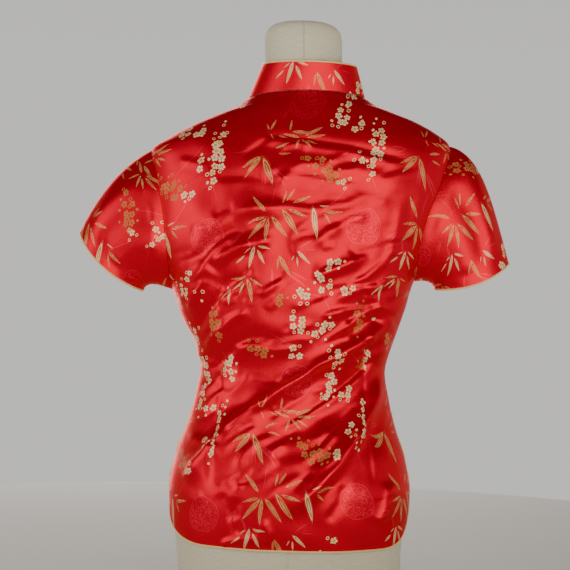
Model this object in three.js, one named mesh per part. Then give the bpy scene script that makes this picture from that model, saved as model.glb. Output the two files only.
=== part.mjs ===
// A women's short-sleeved satin blouse with a stand collar, worn on a limbless linen-covered dress form.
// Millimetres, +Z up. The wearer faces -Y, so the back of the blouse faces +Y and the wearer's left is +X.
// The origin is the middle of the form's flat base.
//
// The torso is one closed surface. A ring at each height is a squared oval, and an angle of 0 is the centre
// back, +90 and -90 degrees are the sides and 180 is the centre front. The blouse's panels are pieces of
// that surface, the form is the same surface moved in by the ease, and piping and closures are the
// panels' own points moved out.
import * as THREE from "three";

const WALL = 1.2; // thickness of the cloth
const SEAM_GAP = 0.3; // between two pieces at a seam
const SEAM_SPARE = 1.1; // facets come a little nearer each other than the curves
const HEM_HEIGHT = 118;
const SLIT_TOP = 295;
const HALF_GIRTH = 220; // cloth from the centre to the side at the hips
const UNDERARM = 450;
const SHOULDER_TIP = 632;
const NECK_SIDE = 698;
const ARMHOLE_DEPTH_BACK = 30; // degrees that the armhole cuts into the back
const ARMHOLE_DEPTH_FRONT = 31;
const SLIT_OPEN = 2.3; // degrees that each slit edge stands back from the side
const SLIT_TAPER = 14; // the slit reaches its full width this far below its top
const OPENING_FOOT = 476; // where the slanted front opening meets the armhole
const OPENING_LAST_ANGLE = 0.8; // degrees from the centre front at which the main front ends at the neck
const UNDERLAP = 7; // degrees of the small right front that lie under the main front
const UNDERLAP_NARROWING = 90; // the underlap narrows over this height below the neck
const UNDERLAP_DROP = 2.6; // how far the small right front lies below the main front
const UNDERLAP_RISE = [3, 16]; // degrees past the opening where it starts to rise, and over which it does
const SMALL_FRONT_FIRST_ANGLE = 2.2; // degrees from the centre front to the small front's edge at the neck
const SMALL_FRONT_FOOT = 482; // the small front's lowest row, just above the foot of the opening
const PIPING_RADIUS = 1.25;
const PIPING_SIDES = 6;
const COLLAR_FRONT_GAP = 5; // degrees from the centre front to each collar end
const COLLAR_CORNER = 14; // rounding of the collar's front corners
const COLLAR_GIRTH = 380; // around the middle of the band
const COLLAR_FOOT_GAP = 0.8; // the band starts this far above the neckline
const COLLAR_TALL = 42;
const CORD_HALF_WIDTH = 3.4; // a closure is a flat doubled cord
const CORD_HALF_HEIGHT = 1.5;
const KNOT_RADIUS = 5;
const KNOT_HALF_HEIGHT = 4;
const KNOT_SHARE = 0.13; // the swelling's share of a leg
const CLOSURE_LIFT = 0.9; // the cord just clears the piping that it crosses

// Where the closures lie: their middle's angle off the centre front and height, and how far each leg goes.
const NECK_CLOSURE = { share: 0.32, spread: 32 };
const CHEST_CLOSURE = { angle: 26, height: 600, spread: 10, rise: 20 };
const UNDERARM_CLOSURE = { angle: 45, height: 525, spread: 9, rise: 16 };

const RED = { color: 0xc8141c, roughness: 0.38, metalness: 0 };
const GOLD = { color: 0xe6c98a, roughness: 0.45, metalness: 0 };
const LINEN = { color: 0xc6bfb0, roughness: 0.9, metalness: 0 };

// Columns of a named table become arrays of numbers under their names.
const table = (names, rows) => Object.fromEntries(names.map((name, i) => [name, rows.map((row) => row[i])]));

// The outside of the cloth. Back and front are the y of the centre back and centre front, the lifts are how
// much higher than the side they are, and tilt is how much lower the wearer's left side hangs.
const TORSO = table(
  ["height", "half", "back", "front", "centre", "backLift", "frontLift", "square", "shift", "tilt"],
  [
    [0, 144, 97, -84, 2, 0, 0, 2.1, -3, 0],
    [60, 151, 105, -90, 2, 0, 0, 2.15, -3, 0],
    [98, 153, 111, -93, 2, 0, 0, 2.2, -1, 0],
    [145, 158, 118, -97, 2, 0, 0, 2.2, 0, 0],
    [180, 159, 120, -99, 2, 0, 0, 2.2, 0, 0],
    [224, 152, 112, -97, 1, 0, 0, 2.2, 0, 0],
    [262, 139, 98, -92, 0, 0, 0, 2.2, 0, 0],
    [300, 129, 86, -88, 0, 0, 0, 2.2, 0, 0],
    [338, 122, 81, -88, 0, 0, 0, 2.2, 0, 0],
    [375, 132, 88, -97, 0, 0, 0, 2.25, 0, 3],
    [406, 145, 94, -106, 0, 0, 0, 2.3, 2, 6],
    [450, 160, 98, -112, 0, 0, 0, 2.3, 3, 10],
    [490, 175, 98, -111, 0, 0, 0, 2.3, 4, 10],
    [541, 192, 98, -106, 0, 0, 0, 2.3, 2, 9],
    [584, 200, 93, -94, 1, 6, 0, 2.3, -2, 8],
    [613, 200, 85, -83, 3, 11, -4, 2.3, -3, 7],
    [632, 196, 78, -74, 5, 12, -8, 2.3, -2, 8],
    [648, 175, 70, -68, 5, 14, -14, 2.25, -3, 8],
    [661, 152, 64, -63, 5, 15, -19, 2.2, -4, 7],
    [673, 124, 59, -58, 5, 14, -23, 2.15, -6, 5],
    [683, 99, 56, -54, 5, 10, -25, 2.1, -7, 4],
    [698, 77, 52, -48, 4, 5, -26, 2, -8, 2],
  ],
);

// The bust, two soft mounds on the front.
const BUST = { across: 76, height: 428, reach: 15, width: 36, tall: 40 };
const BUST_FADE = 2; // the bust is whole where the cosine to the front is above one over this
const CREASE_FADE = 2.5; // and a crease where the cosine to the back or front is above one over this
const CREASE_END_FADE = 5; // a crease fades over one fifth of its way at each end

// How far the form's surface lies inside the cloth's outside, at the sides and what is added at the centres.
const EASE = table(
  ["height", "side", "middle"],
  [
    [0, 1, 0],
    [60, 3, 0],
    [98, 4.5, 0],
    [180, 6, 0],
    [262, 9, 1],
    [338, 9, 1],
    [406, 6, 2],
    [450, 5, 2],
    [541, 5, 1],
    [613, 3, 3],
    [632, 1.8, 4],
    [661, 1.7, 3.4],
    [698, 1.7, 2.6],
  ],
);

// The form's neck above the neckline, as more rings of the same kind; the last is the flat of the cap.
const NECK = table(
  ["height", "half", "back", "front", "centre", "backLift", "frontLift", "square", "shift"],
  [
    [704, 65, 43, -39, 3, 5, -20, 2, -6],
    [714, 57, 44, -39, 3, 3, -15, 2, -4],
    [728, 52.5, 46, -42, 2, 1, -8, 2, -3],
    [745, 51, 47, -44, 1, 0, -3, 2, -2.5],
    [772, 51.5, 47, -45, 1, 0, 0, 2, -1.5],
    [783, 50, 45, -43, 1, 0, 0, 2, -1],
    [792, 44, 40, -38, 1, 0, 0, 2, -1],
    [798, 29, 26, -24, 1, 0, 0, 2, -1],
    [799, 12, 11, -9, 1, 0, 0, 2, -1],
  ],
);
const FORM_SIDE_LIMIT = 171; // the flat of the form's armhole plates
const FORM_SIDE_SOFTNESS = 7;
const ARM_PLATE_LOW = 400; // the flat begins at this height and is whole ARM_PLATE_BLEND higher
const ARM_PLATE_BLEND = 60;
const SHOULDER_BLEND = 16; // and ends this far above the shoulder tip

// The collar's top edge.
const COLLAR_TOP = {
  side: 740,
  half: 63.5,
  back: 54,
  front: -51,
  centre: 2,
  shift: -10.5,
  backLift: -1,
  frontLift: -28,
  square: 2,
};

// Each hem corner's rounding, measured along the cloth and up the slit.
const HEM_CORNERS = {
  back: { left: { along: 112, up: 78 }, right: { along: 98, up: 82 } },
  front: { left: { along: 70, up: 60 }, right: { along: 70, up: 60 } },
};

// A sleeve's hem ring: its outer tip, its inner end, half its depth and how far it bows outward, then the
// tangents (outward, up) that round the sleeve head and lead into the hem.
const SLEEVES = {
  left: {
    side: 1,
    tip: [287, 2, 514],
    inner: [201, 0, 438],
    depth: 41,
    bow: 11,
    head: [38, -20],
    run: [30, -62],
  },
  right: {
    side: -1,
    tip: [282, 2, 489],
    inner: [184, 0, 451],
    depth: 40,
    bow: 11,
    head: [46, -8],
    run: [24, -72],
  },
};
const SLEEVE_UNDER_LEAD = 10; // the lead at the underarm, straight out
const SLEEVE_FULLNESS = 6; // how far the lead bulges to the back and front
const SLEEVE_GAP = 0.48; // the sleeve starts this far off the armhole, clear of the facets
const SLEEVE_AROUND = 28;
const SLEEVE_RINGS = 7;
const SLEEVE_LONGEST_RUN = 0.4; // a lead into the hem is at most this share of the way

// Columns: how far a crease stands out (or sinks, below 0), its reach to the left and to the right of its
// way, and its way as points (across, height).
const creaseTable = (rows) => rows.map(([depth, left, right, way]) => ({ depth, left, right, way }));

// Creases of the back.
const BACK_CREASES = creaseTable([
  [-3, 26, 10, [[61, 640], [-20, 630], [-79, 621], [-143, 607]]], // shoulder blade break
  [3.5, 14, 26, [[40, 610], [-30, 604], [-90, 594], [-150, 578]]], // under the break
  // left blade edge
  [
    3,
    10,
    16,
    [
      [144, 482], [125, 504], [108, 521], [83, 538],
      [61, 544], [30, 542], [11, 535],
    ],
  ],
  [3.5, 10, 9, [[106, 471], [94, 484], [77, 496], [52, 505], [26, 512]]], // left blade fold
  [3, 14, 14, [[143, 412], [130, 439], [117, 462], [106, 473]]], // left waist pull
  [-3, 12, 12, [[100, 440], [76, 453], [52, 465]]], // left inner hollow
  // long diagonal
  [
    6,
    12,
    20,
    [
      [-116, 380], [-63, 367], [-23, 348], [23, 308],
      [77, 267], [120, 216], [139, 194],
    ],
  ],
  [-4, 11, 16, [[-117, 369], [-81, 334], [-51, 304], [-20, 280], [24, 253]]], // hollow under the diagonal
  // right sweep
  [
    6,
    16,
    11,
    [
      [-110, 347], [-108, 310], [-94, 282], [-77, 253],
      [-54, 220], [-17, 184], [18, 160],
    ],
  ],
  [3, 12, 14, [[-129, 207], [-125, 184], [-119, 165], [-110, 148]]], // right hip ridge
  [3, 12, 14, [[-21, 462], [-56, 477], [-76, 491]]], // middle spread
  [-3, 12, 12, [[-62, 407], [-108, 431]]], // right hollow
  [-3, 9, 12, [[-34, 373], [-64, 391], [-95, 406], [-129, 419]]], // right waist hollow
  [3, 9, 9, [[-90, 383], [-131, 410]]], // right waist ridge
  [3, 16, 14, [[9, 489], [-19, 504], [-59, 527]]], // right blade ridge
]);

// Creases of the front, as uneven as the back's.
const FRONT_CREASES = creaseTable([
  [3, 12, 14, [[80, 392], [62, 368], [40, 350], [14, 338]]], // left bust to waist
  [3, 14, 12, [[-84, 396], [-70, 370], [-52, 352]]], // right bust to waist
  [4, 12, 16, [[112, 318], [76, 292], [30, 262], [-22, 236]]], // left hip drag
  [3.5, 14, 12, [[-116, 300], [-84, 262], [-58, 214], [-44, 178]]], // right hip drag
  [-3, 16, 14, [[40, 440], [0, 448], [-36, 438]]], // between the busts
  [3, 12, 12, [[150, 520], [122, 494], [102, 470]]], // left armhole pull
  [2.5, 12, 12, [[-146, 506], [-124, 484], [-104, 468]]], // right armhole pull
]);

// A smooth line through a column of a table, without overshoot between its rows.
function smoothLine(keys, values) {
  const slopes = keys.slice(1).map((key, i) => (values[i + 1] - values[i]) / (key - keys[i]));
  const tangents = values.map((_, i) => {
    if (i === 0) return slopes[0];
    if (i === slopes.length) return slopes[i - 1];
    const before = slopes[i - 1];
    const after = slopes[i];
    return before * after <= 0 ? 0 : (2 * before * after) / (before + after);
  });
  return (at) => {
    const key = THREE.MathUtils.clamp(at, keys[0], keys[keys.length - 1]);
    let i = 0;
    while (i < keys.length - 2 && key > keys[i + 1]) i += 1;
    const span = keys[i + 1] - keys[i];
    const t = (key - keys[i]) / span;
    const rise = t * t * (3 - 2 * t);
    const lead = t * (1 - t) * (1 - t) * span;
    const trail = t * t * (t - 1) * span;
    return values[i] * (1 - rise) + values[i + 1] * rise + tangents[i] * lead + tangents[i + 1] * trail;
  };
}

const linesOf = (columns) =>
  Object.fromEntries(Object.keys(columns).map((name) => [name, smoothLine(columns.height, columns[name])]));
const torso = linesOf(TORSO);
const ease = linesOf(EASE);

const radians = (degrees) => (degrees * Math.PI) / 180;
const smoothstep = (t) => THREE.MathUtils.smoothstep(t, 0, 1);

// A point of a squared oval ring. The angle is in degrees from the centre back toward the wearer's left.
function ringPoint(ring, angle, height) {
  const sine = Math.sin(radians(angle));
  const cosine = Math.cos(radians(angle));
  const scale = (Math.abs(sine) ** ring.square + Math.abs(cosine) ** ring.square) ** (-1 / ring.square);
  const reach = cosine > 0 ? ring.back - ring.centre : ring.centre - ring.front;
  const lift = cosine > 0 ? ring.backLift : ring.frontLift;
  return new THREE.Vector3(
    ring.shift + ring.half * sine * scale,
    ring.centre + reach * cosine * scale,
    height + lift * cosine * cosine - (ring.tilt ?? 0) * sine,
  );
}

const ringAt = (lines, height) =>
  Object.fromEntries(Object.entries(lines).map(([name, line]) => [name, line(height)]));

function bustReach(point) {
  const across = (Math.abs(point.x) - BUST.across) / BUST.width;
  const up = (point.z - BUST.height) / BUST.tall;
  return BUST.reach * Math.exp(-0.5 * (across * across + up * up));
}

function torsoPoint(angle, height) {
  const point = ringPoint(ringAt(torso, height), angle, height);
  const toFront = Math.max(0, -Math.cos(radians(angle)));
  point.y -= bustReach(point) * smoothstep(toFront * BUST_FADE);
  return point;
}

function torsoNormal(angle, height) {
  const step = 0.5;
  const along = torsoPoint(angle + step, height).sub(torsoPoint(angle - step, height));
  const up = torsoPoint(angle, Math.min(height + step, NECK_SIDE)).sub(torsoPoint(angle, height - step));
  return up.cross(along).normalize();
}

// How far the creases move a point out. A crease fades at both ends.
function creaseReach(creases, x, z) {
  let reach = 0;
  for (const crease of creases) {
    let best = Infinity;
    let share = 0;
    let side = 1;
    const last = crease.way.length - 1;
    for (let i = 0; i < last; i += 1) {
      const [ax, az] = crease.way[i];
      const [bx, bz] = crease.way[i + 1];
      const dx = bx - ax;
      const dz = bz - az;
      const t = THREE.MathUtils.clamp(((x - ax) * dx + (z - az) * dz) / (dx * dx + dz * dz), 0, 1);
      const offX = x - ax - dx * t;
      const offZ = z - az - dz * t;
      const distance = Math.hypot(offX, offZ);
      if (distance < best) {
        best = distance;
        share = (i + t) / last;
        side = dx * offZ - dz * offX;
      }
    }
    const width = side > 0 ? crease.left : crease.right;
    const fade = smoothstep(share * CREASE_END_FADE) * smoothstep((1 - share) * CREASE_END_FADE);
    reach += crease.depth * Math.exp(-((best / width) ** 2)) * fade;
  }
  return reach;
}

// A panel's point: on the torso, moved by the creases, and drop millimetres further in.
function clothPoint(angle, height, drop = 0) {
  const point = torsoPoint(angle, height);
  const facing = Math.cos(radians(angle));
  const creases = facing > 0 ? BACK_CREASES : FRONT_CREASES;
  const seen = smoothstep(Math.abs(facing) * CREASE_FADE);
  const reach = creaseReach(creases, point.x, point.z) * seen - drop;
  return reach === 0 ? point : point.addScaledVector(torsoNormal(angle, height), reach);
}

// Half of the armhole's height, and the angle at which the armhole cuts a row at some height.
const ARMHOLE_MIDDLE = (UNDERARM + SHOULDER_TIP) / 2;
const ARMHOLE_HALF = (SHOULDER_TIP - UNDERARM) / 2;
function armholeCut(height, depth) {
  const up = (height - ARMHOLE_MIDDLE) / ARMHOLE_HALF;
  return Math.abs(up) >= 1 ? 0 : depth * Math.sqrt(1 - up * up);
}

// The slanted front opening, from the neck's centre front to the right armhole, as angles off the front.
const OPENING = smoothLine(
  [OPENING_FOOT, 500, 525, 560, 600, 640, 670, NECK_SIDE],
  [64, 54, 45, 35, 26, 17, 9, 0],
);

// Heights of rows from a height up to the shoulder tip, closer together where the armhole turns.
function armholeRows(from, count) {
  const start = Math.acos(THREE.MathUtils.clamp((ARMHOLE_MIDDLE - from) / ARMHOLE_HALF, -1, 1));
  return Array.from({ length: count + 1 }, (_, i) => {
    const turn = start + ((Math.PI - start) * i) / count;
    return ARMHOLE_MIDDLE - ARMHOLE_HALF * Math.cos(turn);
  });
}

// Shares across a panel's half from its centre to its side, closer together in the hem corner.
function acrossShares(flat, corner, cornerShare) {
  const even = Array.from({ length: flat }, (_, i) => ((1 - cornerShare) * i) / flat);
  const turned = Array.from({ length: corner + 1 }, (_, i) => {
    const turn = (Math.PI / 2) * (i / corner);
    return 1 - cornerShare * (1 - Math.sin(turn));
  });
  return [...even, ...turned];
}

function hemHeight(share, corner) {
  const along = (1 - Math.abs(share)) * HALF_GIRTH;
  if (along >= corner.along) return HEM_HEIGHT;
  const turn = 1 - along / corner.along;
  return HEM_HEIGHT + corner.up * (1 - Math.sqrt(Math.max(0, 1 - turn * turn)));
}

// A body panel as a grid of outer points, its rows from the hem upward. Shares across it run from -1 at
// the wearer's right to 1 at the left, and turn makes an angle off the panel's centre one of the torso.
function bodyGrid({ turn, corners, depth, rightLimit, shares, hemRows, upperHeights }) {
  const columns = [...shares.slice(1).reverse().map((s) => -s), ...shares];
  const edge = (height, side) => {
    const limit = side < 0 && rightLimit ? rightLimit(height) : Infinity;
    return Math.min(90 - armholeCut(height, depth), limit);
  };
  const slit = (height) => SLIT_OPEN * smoothstep((SLIT_TOP - height) / SLIT_TAPER);
  const at = (share, height) => {
    const half = edge(height, share) - slit(height) - seamAngle(height);
    return clothPoint(turn(share * half), height);
  };
  const rows = [];
  for (let i = 0; i <= hemRows; i += 1) {
    rows.push(
      columns.map((share) => {
        const hem = hemHeight(share, share > 0 ? corners.left : corners.right);
        return at(share, hem + ((SLIT_TOP - hem) * i) / hemRows);
      }),
    );
  }
  for (let i = 1; i <= SIDE_ROWS; i += 1) {
    const height = SLIT_TOP + ((UNDERARM - SLIT_TOP) * i) / SIDE_ROWS;
    rows.push(columns.map((share) => at(share, height)));
  }
  for (const height of upperHeights) rows.push(columns.map((share) => at(share, height)));
  return rows;
}

// Half the seam gap as an angle at a side or shoulder seam.
function seamAngle(height) {
  const ring = ringAt(torso, height);
  const reach = Math.min(ring.back - ring.centre, ring.centre - ring.front);
  return THREE.MathUtils.radToDeg((SEAM_SPARE * SEAM_GAP) / 2 / reach);
}

function gridNormals(rows, closed) {
  const width = rows[0].length;
  return rows.map((row, i) =>
    row.map((_, j) => {
      const below = rows[Math.max(i - 1, 0)];
      const above = rows[Math.min(i + 1, rows.length - 1)];
      const before = closed ? (j + width - 1) % width : Math.max(j - 1, 0);
      const after = closed ? (j + 1) % width : Math.min(j + 1, width - 1);
      const along = row[after].clone().sub(row[before]);
      const up = above[j].clone().sub(below[j]);
      return along.cross(up).normalize();
    }),
  );
}

function gridOuts(rows, flip, closed = false) {
  return gridNormals(rows, closed).map((row) => row.map((normal) => (flip ? normal.negate() : normal)));
}

class Solid {
  constructor() {
    this.points = [];
    this.faces = [];
  }

  add(point) {
    this.points.push(point.x, point.y, point.z);
    return this.points.length / 3 - 1;
  }

  quad(a, b, c, d) {
    this.faces.push(a, b, c, a, c, d);
  }

  mesh(name, finish) {
    const geometry = new THREE.BufferGeometry();
    geometry.setAttribute("position", new THREE.Float32BufferAttribute(this.points, 3));
    geometry.setIndex(this.faces);
    geometry.computeVertexNormals();
    const mesh = new THREE.Mesh(geometry, new THREE.MeshStandardMaterial(finish));
    mesh.name = name;
    return mesh;
  }
}

// A sheet of cloth from its outer points, with a wall of even thickness on the inside. Its normals are
// along x up, so outward faces want columns that run that way round; flip turns the sheet over.
function clothSheet(name, rows, { closed = false, flip = false } = {}) {
  const ordered = flip ? rows.map((row) => [...row].reverse()) : rows;
  const normals = gridNormals(ordered, closed);
  const solid = new Solid();
  const outer = ordered.map((row) => row.map((point) => solid.add(point)));
  const inner = ordered.map((row, i) =>
    row.map((point, j) => solid.add(point.clone().addScaledVector(normals[i][j], -WALL))),
  );
  const width = outer[0].length;
  const steps = closed ? width : width - 1;
  for (let i = 0; i + 1 < outer.length; i += 1) {
    for (let j = 0; j < steps; j += 1) {
      const k = (j + 1) % width;
      solid.quad(outer[i][j], outer[i][k], outer[i + 1][k], outer[i + 1][j]);
      solid.quad(inner[i][j], inner[i + 1][j], inner[i + 1][k], inner[i][k]);
    }
  }
  const last = outer.length - 1;
  for (let j = 0; j < steps; j += 1) {
    const k = (j + 1) % width;
    solid.quad(inner[0][j], inner[0][k], outer[0][k], outer[0][j]);
    solid.quad(outer[last][j], outer[last][k], inner[last][k], inner[last][j]);
  }
  if (!closed) {
    for (let i = 0; i < last; i += 1) {
      solid.quad(inner[i][0], outer[i][0], outer[i + 1][0], inner[i + 1][0]);
      solid.quad(outer[i][width - 1], inner[i][width - 1], inner[i + 1][width - 1], outer[i + 1][width - 1]);
    }
  }
  return solid.mesh(name, RED);
}

// A cord of round or flat section along a list of points. Outs are the ways out of the cloth, and
// sizes the cord's half width and half height, at each point.
function cord(name, path, outs, sizes, closed = false) {
  const solid = new Solid();
  const count = path.length;
  const rings = path.map((point, i) => {
    const before = path[closed ? (i + count - 1) % count : Math.max(i - 1, 0)];
    const after = path[closed ? (i + 1) % count : Math.min(i + 1, count - 1)];
    const along = after.clone().sub(before).normalize();
    const across = along.clone().cross(outs[i]).normalize();
    const out = across.clone().cross(along).normalize();
    return Array.from({ length: PIPING_SIDES }, (_, k) => {
      const turn = (2 * Math.PI * (k + 0.5)) / PIPING_SIDES;
      const place = point.clone().addScaledVector(across, sizes[i].width * Math.cos(turn));
      return solid.add(place.addScaledVector(out, sizes[i].height * Math.sin(turn)));
    });
  });
  const steps = closed ? count : count - 1;
  for (let i = 0; i < steps; i += 1) {
    const here = rings[i];
    const next = rings[(i + 1) % count];
    for (let k = 0; k < PIPING_SIDES; k += 1) {
      const m = (k + 1) % PIPING_SIDES;
      solid.quad(here[m], here[k], next[k], next[m]);
    }
  }
  if (!closed) {
    for (let k = 1; k + 1 < PIPING_SIDES; k += 1) {
      solid.faces.push(rings[0][0], rings[0][k], rings[0][k + 1]);
      solid.faces.push(rings[count - 1][0], rings[count - 1][k + 1], rings[count - 1][k]);
    }
  }
  return solid.mesh(name, GOLD);
}

// Piping just past an edge of a sheet. The edge's points come with their ways out of the cloth; side is
// +1 where the cloth lies to the left of the way along the edge, seen from outside.
function piping(name, edge, outs, side, closed = false) {
  const count = edge.length;
  const path = edge.map((point, i) => {
    const before = edge[closed ? (i + count - 1) % count : Math.max(i - 1, 0)];
    const after = edge[closed ? (i + 1) % count : Math.min(i + 1, count - 1)];
    const away = after.clone().sub(before).normalize().cross(outs[i]).normalize();
    const moved = point.clone().addScaledVector(away, side * (PIPING_RADIUS + SEAM_GAP));
    return moved.addScaledVector(outs[i], -WALL / 2);
  });
  const sizes = path.map(() => ({ width: PIPING_RADIUS, height: PIPING_RADIUS }));
  return cord(name, path, outs, sizes, closed);
}

// The hem and slit edges of a body panel, from the top of its right slit round to the top of its left.
function hemEdge(grid, slitRows) {
  const last = grid[0].length - 1;
  const right = Array.from({ length: slitRows }, (_, i) => [slitRows - i, 0]);
  const hem = Array.from({ length: last + 1 }, (_, j) => [0, j]);
  const left = Array.from({ length: slitRows }, (_, i) => [i + 1, last]);
  return [...right, ...hem, ...left];
}

const HEM_CORNER_SHARE = 0.46;
const BACK_SHARES = acrossShares(7, 6, HEM_CORNER_SHARE); // columns in the flat and in the hem corner
const FRONT_SHARES = acrossShares(6, 5, HEM_CORNER_SHARE);
const SHOULDER_ROWS = [639, 648, 661, 673, 683, NECK_SIDE];
const BACK_HEM_ROWS = 12;
const FRONT_HEM_ROWS = 10;
const SIDE_ROWS = 9;
const ARMHOLE_ROW_COUNT = 11;
const UPPER_ROWS = [...armholeRows(UNDERARM, ARMHOLE_ROW_COUNT).slice(1), ...SHOULDER_ROWS];
const backGrid = bodyGrid({
  turn: (angle) => angle,
  corners: HEM_CORNERS.back,
  depth: ARMHOLE_DEPTH_BACK,
  shares: BACK_SHARES,
  hemRows: BACK_HEM_ROWS,
  upperHeights: UPPER_ROWS,
});
const ROWS_TO_UNDERARM = FRONT_HEM_ROWS + SIDE_ROWS + 1;
const OPENING_FIRST_ROW = ROWS_TO_UNDERARM + UPPER_ROWS.findIndex((height) => height > OPENING_FOOT);
const openingLimit = (height) =>
  height <= OPENING_FOOT ? Infinity : Math.max(OPENING(height), OPENING_LAST_ANGLE);
const frontGrid = bodyGrid({
  turn: (angle) => 180 - angle,
  corners: HEM_CORNERS.front,
  depth: ARMHOLE_DEPTH_FRONT,
  rightLimit: openingLimit,
  shares: FRONT_SHARES,
  hemRows: FRONT_HEM_ROWS,
  upperHeights: UPPER_ROWS,
});

const SMALL_FRONT_COLUMNS = 9;
const SMALL_FRONT_ROWS = 9;

// The small right front: from just under the slanted opening to the armhole, shoulder and neck.
function smallFrontGrid() {
  const heights = [...armholeRows(SMALL_FRONT_FOOT, SMALL_FRONT_ROWS), ...SHOULDER_ROWS];
  return heights.map((height) => {
    const underlap = UNDERLAP * smoothstep((NECK_SIDE - height) / UNDERLAP_NARROWING);
    const start = Math.max(OPENING(height) - underlap, SMALL_FRONT_FIRST_ANGLE);
    const end = 90 - armholeCut(height, ARMHOLE_DEPTH_FRONT) - seamAngle(height);
    return Array.from({ length: SMALL_FRONT_COLUMNS + 1 }, (_, j) => {
      const out = start + ((end - start) * j) / SMALL_FRONT_COLUMNS;
      const past = (out - OPENING(height) - UNDERLAP_RISE[0]) / UNDERLAP_RISE[1];
      return clothPoint(180 + out, height, UNDERLAP_DROP * (1 - smoothstep(past)));
    });
  });
}

// A point of the armhole: turn 0 is the shoulder tip, 180 the underarm, back first.
function armholePoint(side, turn) {
  const height = ARMHOLE_MIDDLE + ARMHOLE_HALF * Math.cos(radians(turn));
  const depth = turn <= 180 ? ARMHOLE_DEPTH_BACK : ARMHOLE_DEPTH_FRONT;
  const cut = Math.abs(depth * Math.sin(radians(turn)));
  const angle = turn <= 180 ? 90 - cut : 90 + cut;
  return clothPoint(side * angle, height);
}

function cuffPoint(sleeve, turn) {
  const tip = new THREE.Vector3(...sleeve.tip);
  const inner = new THREE.Vector3(...sleeve.inner);
  const cosine = Math.cos(radians(turn));
  const sine = Math.sin(radians(turn));
  const point = tip.clone().lerp(inner, (1 - cosine) / 2);
  const along = inner.clone().sub(tip).normalize();
  point.y += sleeve.depth * sine;
  point.x -= along.z * sleeve.bow * sine * sine;
  point.z += along.x * sleeve.bow * sine * sine;
  point.x *= sleeve.side;
  return point;
}

// A sleeve as a grid: rings from the armhole to the hem, each point on a curve with a rounded head.
function sleeveGrid(sleeve) {
  const rows = [];
  for (let i = 0; i <= SLEEVE_RINGS; i += 1) {
    const t = i / SLEEVE_RINGS;
    const row = [];
    for (let k = 0; k < SLEEVE_AROUND; k += 1) {
      const turn = (360 * k) / SLEEVE_AROUND;
      const top = (1 + Math.cos(radians(turn))) / 2;
      const hem = cuffPoint(sleeve, turn);
      const hole = armholePoint(sleeve.side, turn);
      const shorter = Math.min(1, (SLEEVE_LONGEST_RUN * hem.distanceTo(hole)) / Math.hypot(...sleeve.run));
      const out = THREE.MathUtils.lerp(SLEEVE_UNDER_LEAD, sleeve.head[0], top);
      const fullness = SLEEVE_FULLNESS * Math.sin(radians(turn));
      const lead = new THREE.Vector3(sleeve.side * out, fullness, sleeve.head[1] * top);
      const tail = new THREE.Vector3(sleeve.side * sleeve.run[0], 0, sleeve.run[1]).multiplyScalar(shorter);
      const start = hole.clone().addScaledVector(lead.clone().normalize(), SLEEVE_GAP);
      const curve = new THREE.CubicBezierCurve3(start, start.clone().add(lead), hem.clone().sub(tail), hem);
      row.push(curve.getPoint(t));
    }
    rows.push(row);
  }
  return rows;
}

// A point of the collar band, its share of the way up from the neckline to the top edge.
function collarPoint(angle, share) {
  const foot = torsoPoint(angle, NECK_SIDE);
  foot.z += COLLAR_FOOT_GAP;
  return foot.lerp(ringPoint(COLLAR_TOP, angle, COLLAR_TOP.side), share);
}

const COLLAR_COLUMNS = 34;
const COLLAR_ROWS = 4;
const COLLAR_CROWDING = 1.2; // radians; more crowds the columns toward the rounded ends

// The collar, one band from one front end to the other, with rounded top corners.
function collarGrid() {
  const end = 180 - COLLAR_FRONT_GAP;
  const rows = [];
  for (let i = 0; i <= COLLAR_ROWS; i += 1) {
    const row = [];
    for (let j = 0; j <= COLLAR_COLUMNS; j += 1) {
      const turn = -1 + (2 * j) / COLLAR_COLUMNS;
      const angle = (end * Math.sin(turn * COLLAR_CROWDING)) / Math.sin(COLLAR_CROWDING);
      const along = ((end - Math.abs(angle)) / 360) * COLLAR_GIRTH;
      const corner = Math.max(0, 1 - along / COLLAR_CORNER);
      const cut = (COLLAR_CORNER / COLLAR_TALL) * (1 - Math.sqrt(1 - corner * corner));
      row.push(collarPoint(angle, (i / COLLAR_ROWS) * (1 - cut)));
    }
    rows.push(row);
  }
  return rows;
}

const FORM_ROWS = [
  0, 30, 60, 98, 130, 160, 190, 224, 262, 300, 338, 375,
  406, 430, 450, 475, 500, 530, 560, 590, 613, 625, 632,
];
const FORM_AROUND = 36;

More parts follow.
